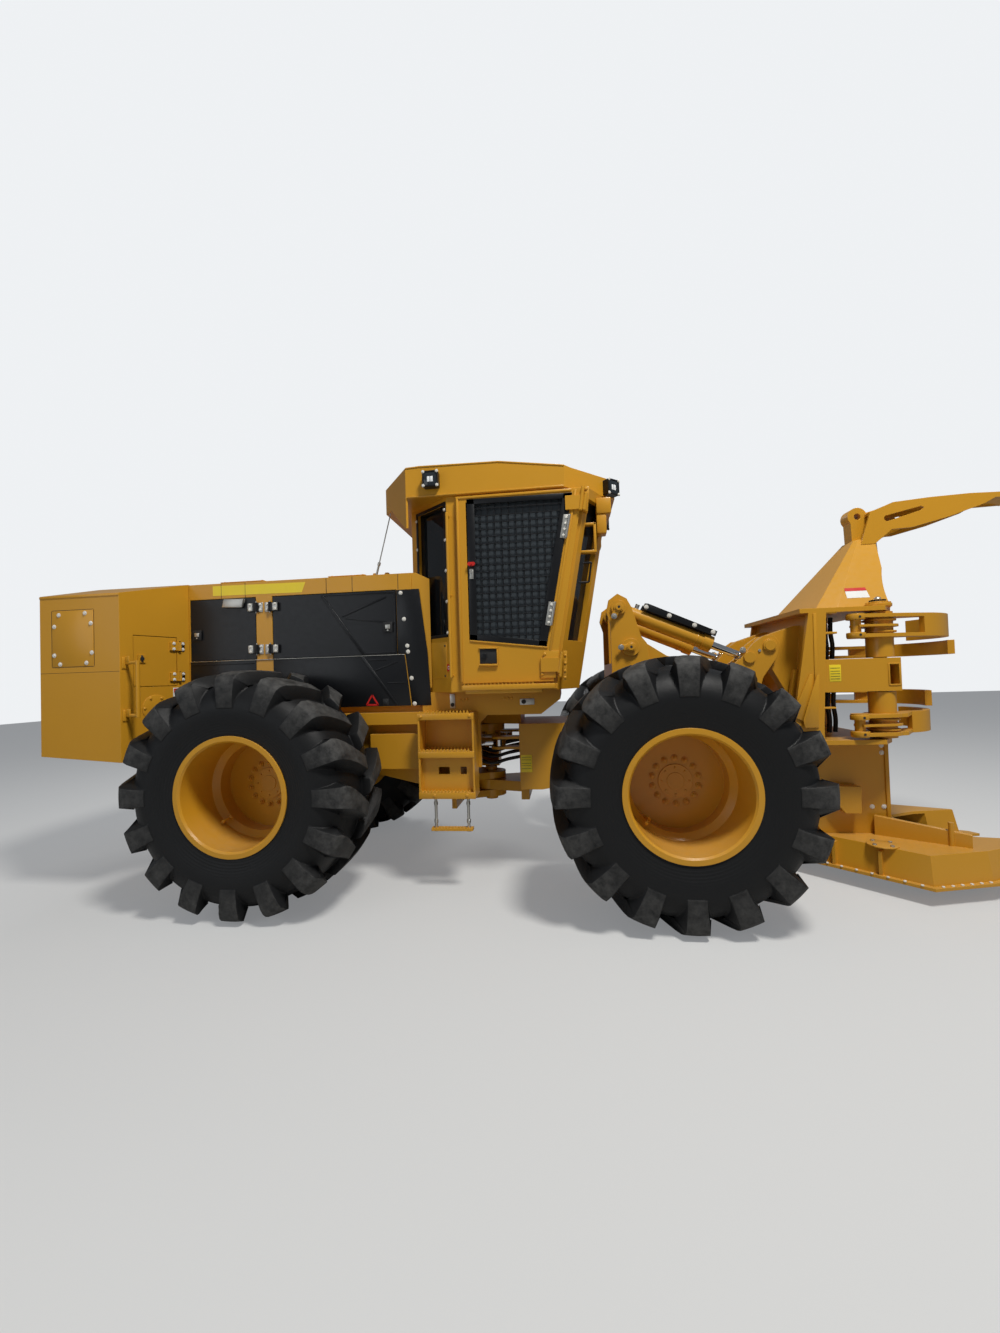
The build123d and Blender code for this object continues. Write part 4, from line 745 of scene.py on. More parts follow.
def ridge(a, b, width, place, depth0, depth1, round_by=2):
    """Straight strip between two points of a face."""
    du, dv = b[0] - a[0], b[1] - a[1]
    size = math.hypot(du, dv)
    nu, nv = -dv / size * width / 2, du / size * width / 2
    outline = [
        (a[0] + nu, a[1] + nv), (b[0] + nu, b[1] + nv), (b[0] - nu, b[1] - nv), (a[0] - nu, a[1] - nv),
    ]
    return prism(outline, place, depth0, depth1, round_by)


def copies_to(obj, shifts):
    """The object and its copies, moved by millimetres, as a list."""
    out = [obj]
    for shift in shifts:
        twin = obj.copy()
        twin.data = obj.data.copy()
        bpy.context.scene.collection.objects.link(twin)
        twin.location = Vector(shift) / 1000
        out.append(twin)
    return out


def bolt_heads(place, spots, radius=11, height=8, sides=12, depth=0):
    """Washers with button heads at points of a face."""
    first = place(*spots[0], depth)
    washer = rod(first, place(*spots[0], depth + 3), radius * 1.5, 20)
    head = rod(first, place(*spots[0], depth + height), radius, sides)
    one = bevel(joined("bolt", [washer, head]), min(2, height / 4), 1)
    shifts = [[b - a for a, b in zip(first, place(*spot, depth))] for spot in spots[1:]]
    return joined("bolts", copies_to(one, shifts))


USUAL_SLOT = {
    yellow: "yellow_paint", yellow_label: "yellow_paint", black: "black_paint", plastic: "dark_plastic",
    red_label: "dark_plastic", white_label: "dark_plastic", zinc: "chrome_rod", bolt_white: "chrome_rod",
    lamp_glass: "dark_glass", lens: "dark_glass", saw_steel: "saw_steel",
}


def fit(name, objs, body, material, body_left=None, slot=None):
    """Join, settle and dress a piece, and give the left side its twin where there is one."""
    piece = settle(joined(name + "_right" if body_left else name, objs))
    slot = slot or USUAL_SLOT[material]
    dress(piece, body, material, slot)
    if body_left:
        twin = mirrored(piece)
        twin.name = name + "_left"
        dress(twin, body_left, material, slot)


HOOD = side_face(-650)
TAIL_SIDE = side_face(-1200)
TAIL_FACE = surface(-930, -650, (-0.2953, -0.9554), (0.9554, -0.2953))
DOOR = side_face(-834)
ROOF_SIDE = side_face(-826)
ROOF_FRONT = surface(2450, -826, (0.7452, 0.6668), (0.6668, -0.7452))
CAB_CORNER = surface(1100, -470, (0.7634, -0.6459), (-0.6459, -0.7634))
print("faces ready")

# %% [markdown]
# ## Tail box
#
# A big panel held by eight white button bolts closes each side. The forward face carries the small
# door's hinges, its latch, a round cover under the door and a blank data plate.

# %% Tail box fittings
fit("tail_panel", [patch(-1703, -1329, 1900, 2352, TAIL_SIDE, -1, 3, 1.5)], "rear", yellow, "rear")
# The thin dark strips round the panel and along the crease below it are painted shadow lines: shade in the
# panel's gaps and in the crease, drawn in dark plastic.
fit("tail_panel_seam", [
    ridge((-1703, 1896), (-1329, 1896), 3, TAIL_SIDE, 0, 1, 0),
    ridge((-1703, 2356), (-1329, 2356), 3, TAIL_SIDE, 0, 1, 0),
    ridge((-1707, 1900), (-1707, 2352), 3, TAIL_SIDE, 0, 1, 0),
    ridge((-1325, 1900), (-1325, 2352), 3, TAIL_SIDE, 0, 1, 0),
    ridge((-1812, 1850), (-1102, 1850), 2, TAIL_SIDE, 0, 0.8, 0),
], "rear", plastic, "rear")
TAIL_BOLTS = [
    (-1638, 2318), (-1401, 2326), (-1349, 2243), (-1343, 2007), (-1392, 1926), (-1629, 1920),
    (-1682, 1993), (-1680, 2226),
]
fit("tail_panel_bolts", [bolt_heads(TAIL_SIDE, TAIL_BOLTS, 12, 9, depth=3)], "rear", bolt_white, "rear")
fit("tail_roof_lip", [patch(-1815, -1100, 2455, 2472, TAIL_SIDE, 0, 5, 1)], "rear", yellow, "rear")
hinge_bits, hinge_bolts = [], []
for v in (1800, 2065):
    hinge_bits.append(patch(45, 80, v - 40, v + 40, TAIL_FACE, 0, 6, 1.5))
    hinge_bits.append(rod(TAIL_FACE(93, v - 46, 13), TAIL_FACE(93, v + 46, 13), 6.5, 12))
    hinge_bolts += [(62, v - 24), (62, v + 24)]
fit("tail_hinge_plates", hinge_bits, "rear", black, "rear")
fit("tail_hinge_bolts", [bolt_heads(TAIL_FACE, hinge_bolts, 10, 9, depth=6)], "rear", bolt_white, "rear")
fit("tail_door_bolts", [
    bolt_heads(TAIL_FACE, [(145, 1776), (145, 1824), (145, 2041), (145, 2089)], 10, 9, depth=12),
], "tail_door_right", bolt_white, "tail_door_left")
fit("tail_latch", [
    rod(TAIL_FACE(410, 1952, 7), TAIL_FACE(410, 1952, 14), 16, 24),
    patch(402, 418, 1925, 1980, TAIL_FACE, 7, 11, 2),
], "tail_door_right", plastic, "tail_door_left")
cover = rod(TAIL_FACE(300, 1540, 0), TAIL_FACE(300, 1540, 7), 112, 40)
fit("tail_round_cover", [bevel(cover, 3, 2)], "rear", yellow, "rear")
COVER_BOLTS = [
    (300 + 92 * math.cos(a * math.pi / 3), 1540 + 92 * math.sin(a * math.pi / 3))
    for a in range(6)
]
fit("tail_cover_bolts", [bolt_heads(TAIL_FACE, COVER_BOLTS, 9, 8, depth=7)], "rear", yellow, "rear")
fit("tail_data_plate", [patch(78, 152, 1610, 1705, TAIL_FACE, 0, 2, 0.5)], "rear", white_label)
fit("tail_warning_patch", [patch(84, 146, 1662, 1698, TAIL_FACE, 2, 2.6)], "rear", red_label)
fit(
    "tail_bar_feet",
    [patch(515, 562, z - 45, z + 45, TAIL_FACE, 0, 9, 2) for z in (1495, 1915)] + [
        ridge((538, z + 6), (538, z + 52), 12, TAIL_FACE, 9, 60, 2)
        for z in (1495, 1915)
    ],
    "rear", yellow, "rear",
)
print("tail box ready")

# %% [markdown]
# ## Hood sides
#
# The hood's doors and everything below them are black; only the roof rail and the post between the
# doors stay yellow. Pressed ridges break up the black panels, and a black filler strip with white
# bolts closes the gap to the cab.

# %% Hood panels, ridges, hinges and latches
fit("hood_lower_panels", [
    patch(-914, -285, 1494, 1926, HOOD, 0, 4, 1.5),
    prism([(-125, 1494), (1108, 1494), (1062, 1926), (-125, 1926)], HOOD, 0, 4, 1.5),
], "rear", black, "rear")
fit("hood_filler", [
    prism(
        [
            (1117, 1494), (1282, 1494), (1262, 1926), (1200, 2480), (1002, 2480), (1002, 1933),
            (1068, 1933),
        ],
        HOOD, -5, 4, 1.5,
    ),
], "rear", black, "rear")
FILLER_BOLTS = [(1040, 2452), (1064, 2228), (1087, 2000), (1092, 1950), (1117, 1725), (1139, 1510)]
fit("hood_filler_bolts", [bolt_heads(HOOD, FILLER_BOLTS, 12, 9, depth=4)], "rear", bolt_white, "rear")
fit("hood_seam_strip", [patch(-914, 1062, 1926, 1931, HOOD, 0, 8, 1)], "rear", zinc, "rear")
fit("hood_panel_ridges", [
    ridge((687, 1920), (985, 1500), 22, HOOD, 3, 9, 3),
    ridge((-900, 1900), (-300, 1900), 12, HOOD, 3, 7, 2),
    ridge((740, 1890), (905, 1888), 12, HOOD, 3, 7, 2),
    ridge((800, 1800), (1000, 1870), 12, HOOD, 3, 7, 2),
    ridge((905, 1690), (1075, 1690), 12, HOOD, 3, 7, 2),
], "rear", black, "rear")
fit("hood_door_ridges", [
    ridge((330, 2470), (700, 1940), 24, HOOD, 0, 7, 3), ridge((512, 2275), (909, 2426), 16, HOOD, 0, 6, 2),
    ridge((545, 2261), (984, 2200), 16, HOOD, 0, 6, 2), ridge((350, 2466), (984, 2462), 14, HOOD, 0, 6, 2),
    ridge((984, 2462), (984, 1945), 14, HOOD, 0, 6, 2), ridge((720, 1950), (984, 1948), 14, HOOD, 0, 6, 2),
], "hood_door_front_right", black, "hood_door_front_left")
fit("hood_rail_joints", [patch(u, u + 4, 2486, 2616, HOOD, 0, 1.2) for u in (-611, -382, 373, 608, 1016)],
    "rear", plastic, "rear")
fit("hood_rail_label", [prism([(-690, 2512), (150, 2504), (185, 2592), (-690, 2600)], HOOD, 0, 1, 0)],
    "rear", yellow_label, "rear")
fit("hood_visor", [
    prism([(-585, 2400), (-395, 2392), (-378, 2470), (-568, 2476)], HOOD, 10, 34, 6),
    prism([(-560, 2440), (-385, 2434), (-378, 2470), (-568, 2476)], HOOD, -2, 12, 3),
], "hood_door_rear_right", zinc, "hood_door_rear_left")
post_bits, post_bolts, rear_bits, rear_bolts, front_bits, front_bolts = [], [], [], [], [], []
for v in (2020, 2390):
    post_bits += [
        patch(-262, -214, v - 42, v + 42, HOOD, 0, 6, 1.5),
        patch(-196, -148, v - 42, v + 42, HOOD, 0, 6, 1.5),
    ]
    post_bits += [rod(HOOD(u, v - 52, 18), HOOD(u, v + 52, 18), 6, 12) for u in (-268, -142)]
    post_bolts += [(u, v + dv) for u in (-238, -172) for dv in (-24, 24)]
    rear_bits.append(patch(-344, -298, v - 34, v + 34, HOOD, 24, 28, 1.5))
    rear_bolts += [(-322, v - 22), (-322, v + 22)]
    front_bits.append(patch(-112, -66, v - 34, v + 34, HOOD, 24, 28, 1.5))
    front_bolts += [(-88, v - 22), (-88, v + 22)]
fit("hood_hinge_plates", post_bits, "rear", zinc, "rear")
fit("hood_hinge_bolts", [bolt_heads(HOOD, post_bolts, 9, 10, depth=6)], "rear", bolt_white, "rear")
fit("hood_hinge_rear", rear_bits, "hood_door_rear_right", zinc, "hood_door_rear_left")
fit("hood_hinge_rear_bolts", [
    bolt_heads(HOOD, rear_bolts, 9, 8, depth=28),
], "hood_door_rear_right", bolt_white, "hood_door_rear_left")
fit("hood_hinge_front", front_bits, "hood_door_front_right", zinc, "hood_door_front_left")
fit("hood_hinge_front_bolts", [
    bolt_heads(HOOD, front_bolts, 9, 8, depth=28),
], "hood_door_front_right", bolt_white, "hood_door_front_left")
for name, u in (("rear", -838), ("front", 924)):
    fit(f"hood_latch_cup_{name}", [patch(u - 40, u + 40, 2122, 2208, HOOD, 12, 16, 6)],
        f"hood_door_{name}_right", plastic, f"hood_door_{name}_left")
    fit(f"hood_latch_paddle_{name}", [
        patch(u - 22, u + 22, 2150, 2186, HOOD, 16, 24, 5),
        rod(HOOD(u, 2138, 16), HOOD(u, 2138, 22), 7, 16),
    ], f"hood_door_{name}_right", zinc, f"hood_door_{name}_left")
fit("hood_reflector", [
    ridge((715, 1506), (766, 1590), 14, HOOD, 4, 6, 0), ridge((819, 1506), (768, 1590), 14, HOOD, 4, 6, 0),
    ridge((715, 1508), (819, 1508), 14, HOOD, 4, 6, 0),
], "rear", red_label, "rear")
fit("hood_lower_latch", [
    patch(860, 912, 1500, 1556, HOOD, 4, 9, 4), patch(874, 898, 1512, 1540, HOOD, 9, 15, 4),
], "rear", plastic, "rear")
roof_bits = []
for x0, x1 in ((-740, -310), (310, 660)):
    plate = box(x0, x1, -478, -130, 2660, 2668)
    roof_bits += [bevel(plate, 3, 2)]
    roof_bits += [rod((x, y, 2640), (x, y, 2674), 10, 6) for x in (x0 + 30, x1 - 30) for y in (-450, -160)]
fit("hood_roof_covers", roof_bits, "rear", yellow, "rear")
print("hood ready")

# %% [markdown]
# ## Cab
#
# The door's guard frame is black and stands proud of the yellow door. Zinc hinges, a red slam
# latch, lamps with four white bolts each and thick screwed hinge plates give the cab its busy look.

# %% Door guard and the black mesh
door = frame["nodes"]["cab_door"]
door.data.materials.append(black)
for polygon in door.data.polygons:
    middle = door.matrix_world @ polygon.center
    u, v = (middle.x - REAR_AXLE) * 1000, middle.z * 1000
    low = 2017 - 63 * (u - 1655) / 607
    if low + 4 < v < 3116 and 1659 < u < 2262 + 238 * (v - 1954) / 1166 - 6:
        polygon.material_index = len(door.data.materials) - 1
fit("door_guard_frame", [
    prism([(1661, 2015), (1722, 2008), (1727, 3144), (1666, 3144)], DOOR, -2, 7, 2),
    prism([(1666, 3144), (1666, 3102), (2499, 3096), (2506, 3137)], DOOR, -2, 7, 2),
    prism([(2269, 1940), (2506, 3137), (2436, 3137), (2203, 1948)], DOOR, -2, 7, 2),
    prism([(1661, 2015), (2269, 1940), (2277, 1984), (1661, 2060)], DOOR, -2, 7, 2),
], "cab_door", black)
fit("door_sill_edge", [ridge((1661, 2008), (2275, 1932), 12, DOOR, -1, 9, 2)], "cab_door", yellow)
fit("door_border", [
    ridge((1588, 1680), (1588, 3166), 18, DOOR, -1, 9, 3),
    ridge((1588, 3160), (2500, 3160), 18, DOOR, -1, 9, 3),
    ridge((2292, 1900), (2532, 3160), 18, DOOR, -1, 9, 3),
], "cab_door", yellow)

# %% Door hinges, latch and pocket
hinges, hinge_bolts = [], []
for u, v in ((2440, 2873), (2304, 2195)):
    hinges.append(ridge((u - 17, v - 92), (u + 17, v + 92), 50, DOOR, 7, 13, 4))
    hinges.append(rod(DOOR(u + 4, v - 90, 20), DOOR(u + 40, v + 90, 20), 11, 16))
    hinge_bolts += [(u + 17 * t, v + 92 * t) for t in (-0.75, -0.25, 0.25, 0.75)]
fit("door_guard_hinges", hinges, "cab_door", zinc)
fit("door_guard_hinge_bolts", [bolt_heads(DOOR, hinge_bolts, 8, 6, 16, 13)], "cab_door", bolt_white)
fit("door_red_latch", [
    patch(1668, 1716, 2602, 2636, DOOR, 7, 20, 4), rod(DOOR(1676, 2619, 20), DOOR(1676, 2619, 30), 15, 20),
    rod(DOOR(1708, 2619, 20), DOOR(1708, 2619, 30), 15, 20),
], "cab_door", red_label)
fit("door_zinc_latch", [
    patch(1674, 1706, 2500, 2582, DOOR, 7, 14, 14),
    rod(DOOR(1690, 2560, 14), DOOR(1690, 2560, 24), 9, 16),
], "cab_door", zinc)
fit("door_pocket", [patch(1736, 1874, 1820, 1940, DOOR, 0, 3, 2)], "cab_door", plastic)
fit("door_pocket_lip", [
    ridge((1730, 1946), (1880, 1942), 12, DOOR, 0, 16, 3),
    ridge((1730, 1812), (1880, 1808), 14, DOOR, 0, 22, 3),
    ridge((1877, 1945), (1877, 1808), 8, DOOR, 0, 12, 2),
], "cab_door", yellow)
fit("door_pocket_handle", [patch(1752, 1790, 1858, 1904, DOOR, 3, 16, 5)], "cab_door", black)

# %% Thick hinge plates at the front edge of the door
low_bolts = [(2250, 1880), (2244, 1830), (2236, 1778), (2226, 1722)]
fit("door_lower_hinge", [prism([(2216, 1692), (2330, 1692), (2365, 1904), (2246, 1906)], DOOR, -1, 9, 3)],
    "cab_door", yellow)
fit("door_lower_hinge_bolts", [bolt_heads(DOOR, low_bolts, 9, 8, 12, 9)], "cab_door", yellow)
fit("post_lower_hinge", [
    prism([(2386, 1672), (2416, 1672), (2426, 1900), (2396, 1904)], side_face(-800), 0, 24, 3),
    rod((2366, -850, 1700), (2384, -850, 1892), 12, 16),
], "rear", yellow)
fit("post_lower_hinge_bolts", [
    bolt_heads(side_face(-824), [(2411, 1864), (2409, 1804), (2406, 1744), (2403, 1693)], 8, 6, 12),
], "rear", yellow)
fit("post_upper_hinge", [
    prism([(2584, 2990), (2622, 2984), (2640, 3180), (2604, 3184)], side_face(-770), 0, 62, 3),
    rod((2562, -850, 2990), (2590, -850, 3170), 14, 16),
], "rear", yellow)
fit("post_upper_hinge_bolts", [
    bolt_heads(side_face(-832), [(2614, 3160), (2608, 3105), (2602, 3052), (2594, 3004)], 9, 8, 12),
], "rear", yellow)
print("door ready")

# %% [markdown]
# The sill under the door is a serrated tread. Its teeth are one small wedge repeated by an Array
# modifier.


# %% Sill teeth, deck plates and labels
def teeth(name, x0, x1, y, z, pitch, size, body):
    """Row of little upright teeth along x."""
    one = prism(
        [(x0, z), (x0 + size, z), (x0 + size * 0.7, z + size), (x0 + size * 0.3, z + size)],
        side_face(y), -6, 6,
    )
    active(one)
    row = one.modifiers.new("row", "ARRAY")
    row.use_relative_offset = False
    row.use_constant_offset = True
    row.constant_offset_displace = (pitch / 1000, 0, 0)
    row.count = int((x1 - x0) / pitch)
    bpy.ops.object.modifier_apply(modifier="row")
    fit(name, [one], body, yellow)


fit("door_sill", [
    bevel(box(1600, 2325, -905, -846, 1612, 1653), 5, 2),
    bevel(box(1625, 2225, -890, -846, 1585, 1618), 4, 2),
], "rear", yellow, "rear")
teeth("door_sill_teeth", 1610, 2180, -896, 1652, 30, 14, "rear")
CHEEK = side_face(-650)
fit("cheek_oblong_rear", [patch(1442, 1486, 1462, 1584, CHEEK, 0, 6, 3)], "rear", zinc, "rear")
fit("cheek_oblong_front", [patch(2028, 2148, 1478, 1530, CHEEK, 0, 6, 3)], "rear", zinc, "rear")
fit("cheek_oblong_eyes", [
    rod(CHEEK(1464, 1492, 6), CHEEK(1464, 1492, 9), 17, 24),
    rod(CHEEK(2060, 1504, 6), CHEEK(2060, 1504, 9), 19, 24),
], "rear", plastic, "rear")
fit("cheek_screws", [
    bolt_heads(
        CHEEK, [(1530, 1530), (1560, 1532), (1590, 1534), (1900, 1536), (1930, 1536), (1960, 1536)], 8,
        6,
    ),
], "rear", yellow, "rear")
fit("corner_panels", [
    prism([(150, 1716), (462, 1716), (466, 2008), (150, 2018)], CAB_CORNER, 0, 4, 2),
], "rear", yellow, "rear")
fit("corner_panel_screws", [
    bolt_heads(CAB_CORNER, [(166, 1986), (446, 1980), (202, 1736), (440, 1734)], 6, 5, 8, 4),
], "rear", plastic, "rear")
fit("corner_label", [
    rod(CAB_CORNER(486, 1800, 0), CAB_CORNER(486, 1800, 2), 24, 32),
    patch(464, 508, 1770, 1830, CAB_CORNER, 0, 1.4),
], "rear", red_label)
fit("corner_label_ring", [
    rod(CAB_CORNER(486, 1800, 1.5), CAB_CORNER(486, 1800, 2.6), 15, 32),
], "rear", white_label)
fit("corner_label_dot", [
    rod(CAB_CORNER(486, 1800, 2), CAB_CORNER(486, 1800, 3.2), 8, 24),
], "rear", red_label)

# %% Rear corner window: gasket and bolts
fit("corner_window_gasket", [
    ridge((86, 2050), (86, 3156), 26, CAB_CORNER, -3, 5, 2),
    ridge((486, 2050), (486, 3156), 34, CAB_CORNER, -3, 5, 2),
    ridge((75, 2062), (500, 2062), 26, CAB_CORNER, -3, 5, 2),
    ridge((75, 3144), (500, 3144), 26, CAB_CORNER, -3, 5, 2),
], "rear", black, "rear")
fit("corner_window_bolts", [
    bolt_heads(
        CAB_CORNER,
        [(488, v) for v in (3090, 2842, 2590, 2338, 2084)] + [
            (84, v)
            for v in (3090, 2842, 2590, 2338, 2084)
        ],
        9, 8, 12, 5,
    ),
], "rear", bolt_white, "rear")
print("cab corner ready")

# %% [markdown]
# Work lamps: each CAD body becomes a black housing with a dark glass, two bright reflectors and a
# white bolt at every corner.

# %% Lamps
for name, place, u, v in (("side", ROOF_SIDE, 1382, 3318), ("front", ROOF_FRONT, 490, 3262)):
    fit(f"lamp_rim_{name}", [
        ridge((u - 62, v + dv), (u + 62, v + dv), 12, place, 58, 66, 3) for dv in (-58, 58)
    ] + [ridge((u + du, v - 62), (u + du, v + 62), 12, place, 58, 66, 3) for du in (-58, 58)],
        "rear", black, "rear", slot="lamp_housing")
    fit(f"lamp_glass_{name}", [
        patch(u - 52, u + 52, v - 52, v + 52, place, 58, 62, 3),
    ], "rear", lamp_glass, "rear")
    fit(f"lamp_light_{name}", [
        patch(u - 24, u - 2, v - 26, v + 18, place, 61, 63.5, 3),
        patch(u + 2, u + 24, v - 26, v + 18, place, 61, 63.5, 3),
    ], "rear", lens, "rear")
    fit(f"lamp_bolts_{name}", [
        bolt_heads(place, [(u + a, v + b) for a in (-56, 56) for b in (-56, 56)], 9, 8, 12, 64),
    ], "rear", bolt_white, "rear")
fit("roof_rim", [
    ridge((1164, 3439), (1270, 3444), 10, ROOF_SIDE, 0, 5, 1),
    ridge((1270, 3444), (1928, 3434), 10, ROOF_SIDE, 0, 5, 1),
    ridge((1928, 3434), (2448, 3362), 10, ROOF_SIDE, 0, 5, 1),
], "rear", yellow, "rear")
fit("roof_drip_edge", [patch(1172, 2444, 3194, 3206, ROOF_SIDE, 0, 7, 2)], "rear", yellow, "rear")
fit("front_bracket", [
    bevel(box(2560, 2690, -700, -640, 2912, 2934), 6, 2),
    bevel(box(2668, 2690, -700, -640, 2700, 2934), 6, 2),
    bevel(box(2500, 2690, -700, -640, 2690, 2712), 6, 2),
], "rear", yellow, "rear")
fit("front_handle", [
    rod((2575, -660, 2618), (2645, -660, 2618), 8, 12), rod((2645, -660, 2618), (2620, -660, 2460), 8, 12),
    rod((2540, -660, 2460), (2620, -660, 2460), 8, 12),
], "rear", black, "rear")
fit("front_lamp_box", [
    bevel(box(2700, 2820, -640, -500, 3020, 3150), 8, 2),
    bevel(box(2700, 2780, -630, -510, 2860, 3020), 8, 2),
], "rear", yellow, "rear")
print("lamps ready")

# %% [markdown]
# ## Steps, hinge area and hoses
#
# The treads have saw-toothed edges for grip, and the lowest one hangs on two zinc cables. Hoses are
# curves with a round bevel, turned into meshes. Those that cross the machine's pivot, or run from
# the tower to the lift arm, stay fixed in the model's frame on neither body.


# %% Step teeth, hanging cables and the hoses at the pivot
def hose(name, points, radius, body, far_body=None):
    """Round hose through points in millimetres, on the given body; with a far body it goes on neither
    body.
    """
    clear_selection()
    bpy.ops.curve.primitive_bezier_curve_add(location=(0, 0, 0))
    obj = bpy.context.active_object
    spline = obj.data.splines[0]
    spline.bezier_points.add(len(points) - 2)
    for knot, point in zip(spline.bezier_points, points):
        knot.co = at(*point)
        knot.handle_left_type = "AUTO"
        knot.handle_right_type = "AUTO"
    obj.data.bevel_depth = radius / 1000
    obj.data.bevel_resolution = 3
    obj.data.resolution_u = 8
    obj.data.use_fill_caps = True
    bpy.ops.object.convert(target="MESH")
    obj = bpy.context.active_object
    obj.name = name
    dress(obj, None if far_body else body, rubber_hose, "dark_plastic")
    if far_body:
        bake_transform(obj)


for top, tag in ((1434, "top"), (1130, "middle"), (805, "low")):
    teeth(f"step_teeth_{tag}", 1222, 1664, -846, top, 28, 20, "rear")
    teeth(f"step_teeth_{tag}_inner", 1222, 1664, -690, top, 28, 18, "rear")
    fit(f"step_lip_{tag}", [
        bevel(box(1213, 1672, -853, -846, top - 50, top), 2, 2),
    ], "rear", yellow, "rear")
teeth("hanging_step_teeth", 1312, 1632, -838, 522, 26, 13, "rear")
fit("hanging_step_ends", [
    rod((x, -815, 492), (x, -815, 530), 17, 20) for x in (1340, 1605)
], "rear", zinc, "rear")
fit("hanging_cables", [
    rod((x, -815, 525), (x, -815, 757), 11.5, 16) for x in (1340, 1605)
], "rear", zinc, "rear")
fit("hanging_cable_clamps", [
    rod((x, -815, z), (x, -815, z + 26), 16, 12) for x in (1340, 1605) for z in (560, 700)
], "rear", zinc, "rear")
fit("step_bolts", [
    bolt_heads(side_face(-853), [(1340, 782), (1605, 782), (1640, 1410), (1240, 1410)], 10, 8, 6),
], "rear", yellow, "rear")
for name, y, z, radius in (
    ("a", 60, 1120, 19), ("b", 0, 1080, 19), ("c", -70, 1030, 16), ("d", -130, 980, 16),
    ("e", 130, 1010, 14),
):
    hose(f"hinge_hose_{name}", [
        (1452, y, z), (1560, y + 8, z - 22), (1700, y - 6, z - 60), (1860, y + 4, z - 26), (1992, y, z),
    ], radius, "rear", "front")
fit("hinge_fittings", [
    rod((1448, y, z), (1480, y, z), r, 6)
    for y, z, r in ((60, 1120, 26), (0, 1080, 26), (-70, 1030, 23), (-130, 980, 23), (130, 1010, 21))
], "rear", zinc)
fit("hinge_label", [
    patch(2000, 2095, 880, 1030, side_face(-400), 0, 2, 0.5),
], "front", yellow_label, "front")
fit("hinge_label_lines", [
    patch(2006, 2089, v, v + 3, side_face(-400), 2, 2.6) for v in (910, 935, 955, 985, 1008)
], "front", plastic, "front")
print("steps and hinge ready")

# %% Stay wires from the hood to the roof, with turnbuckles
fit("stay_wires", [rod((752, -500, 2560), (921, -500, 3196), 5, 10)], "rear", zinc, "rear")
fit("turnbuckles", [
    rod((771, -500, 2632), (800, -500, 2740), 9, 12), rod((764, -500, 2606), (773, -500, 2640), 14, 6),
    rod((798, -500, 2732), (805, -500, 2760), 14, 6),
], "rear", zinc, "rear")
fit("stay_lugs", [bevel(box(722, 782, -506, -494, 2552, 2596), 4, 2)], "rear", yellow, "rear")

# %% [markdown]
# ## Tower, lift arm and cylinders
#
# The pins of the tower and of the arm's fork carry a welded boss, a keeper plate and its bolt. The
# lift cylinders wear a bolted black guard that shields the hoses on top of the barrels.

# %% Pins, keepers and barrel guards
TOWER = side_face(-436)
FORK = side_face(-395)


def pin_head(place, u, v, du, dv, depth=0):
    """Boss with a bored pin end, and the keeper plate's bolt beside it."""
    return (
        [
            rod(place(u, v, depth), place(u, v, depth + 14), 40, 32),
            rod(place(u, v, depth + 10), place(u, v, depth + 24), 28, 32),
            ridge((u, v), (u + du, v + dv), 52, place, depth, depth + 9, 8),
        ],
        [
            rod(place(u + du, v + dv, depth + 9), place(u + du, v + dv, depth + 17), 24, 28),
            rod(place(u + du, v + dv, depth + 17), place(u + du, v + dv, depth + 27), 13, 6),
        ],
        [rod(place(u, v, depth + 22), place(u, v, depth + 25), 11, 20)],
    )


for name, place, body, pins in (
    ("tower", TOWER, "front", ((2870, 2270, -42, -76, 32), (2960, 1930, -84, 0, 32))),
    ("fork", FORK, "lift_arm", ((4070, 1905, -80, -40, 16), (3910, 1812, -46, 62, 16))),
):
    bosses, bolts, holes = [], [], []
    for u, v, du, dv, depth in pins:
        a, b, c = pin_head(place, u, v, du, dv, depth)
        bosses, bolts, holes = bosses + a, bolts + b, holes + c
    fit(f"{name}_pin_bosses", [bevel(joined("bosses", bosses), 2.5, 2)], body, yellow, body)
    fit(f"{name}_pin_bolts", bolts, body, zinc, body)
    fit(f"{name}_pin_holes", holes, body, plastic, body)

TOP_PIN = (2870, 2270)
LOW_PIN = (3910, 1812)
RAM_Y = -330
lean = math.atan2(LOW_PIN[1] - TOP_PIN[1], LOW_PIN[0] - TOP_PIN[0])


def along_ram(distance, rise):
    """Point beside the lift cylinder: distance from its top pin, rise square to its axis."""
    ahead = distance * math.cos(lean) - rise * math.sin(lean)
    above = distance * math.sin(lean) + rise * math.cos(lean)
    return (TOP_PIN[0] + ahead, TOP_PIN[1] + above)


def in_ram(distance, rise, y=RAM_Y):
    """The same point in space, in the cylinder's own plane or another one."""
    u, v = along_ram(distance, rise)
    return (u, y, v)


low = [
    along_ram(190, 66), along_ram(830, 66), along_ram(830, 112), along_ram(220, 126),
    along_ram(194, 118),
]
guard_side = prism(low, side_face(-400), 0, 6, 1.5)
guard_far = prism(low, side_face(-258), 0, 6, 1.5)
top_strip = [along_ram(220, 120), along_ram(830, 106), along_ram(830, 112), along_ram(220, 126)]
guard_top = prism(top_strip, side_face(-258), 0, 148, 1)
fit("ram_guards", [guard_side, guard_far, guard_top], "lift_barrels", black, "lift_barrels")
GUARD = side_face(-406)
fit("ram_guard_bolts", [bolt_heads(GUARD, [along_ram(d, 92) for d in (216, 420, 640, 800)], 13, 9)],
    "lift_barrels", bolt_white, "lift_barrels")
gland = []
for d0, d1, radius in ((758, 838, 68), (700, 716, 65)):
    gland.append(rod(in_ram(d0, 0), in_ram(d1, 0), radius, 48))
fit("ram_glands", [bevel(joined("glands", gland), 3, 2)], "lift_barrels", yellow, "lift_barrels")
fit("ram_fittings", [rod(in_ram(150, 40), in_ram(150, 100), 18, 6)],
    "lift_barrels", zinc, "lift_barrels")
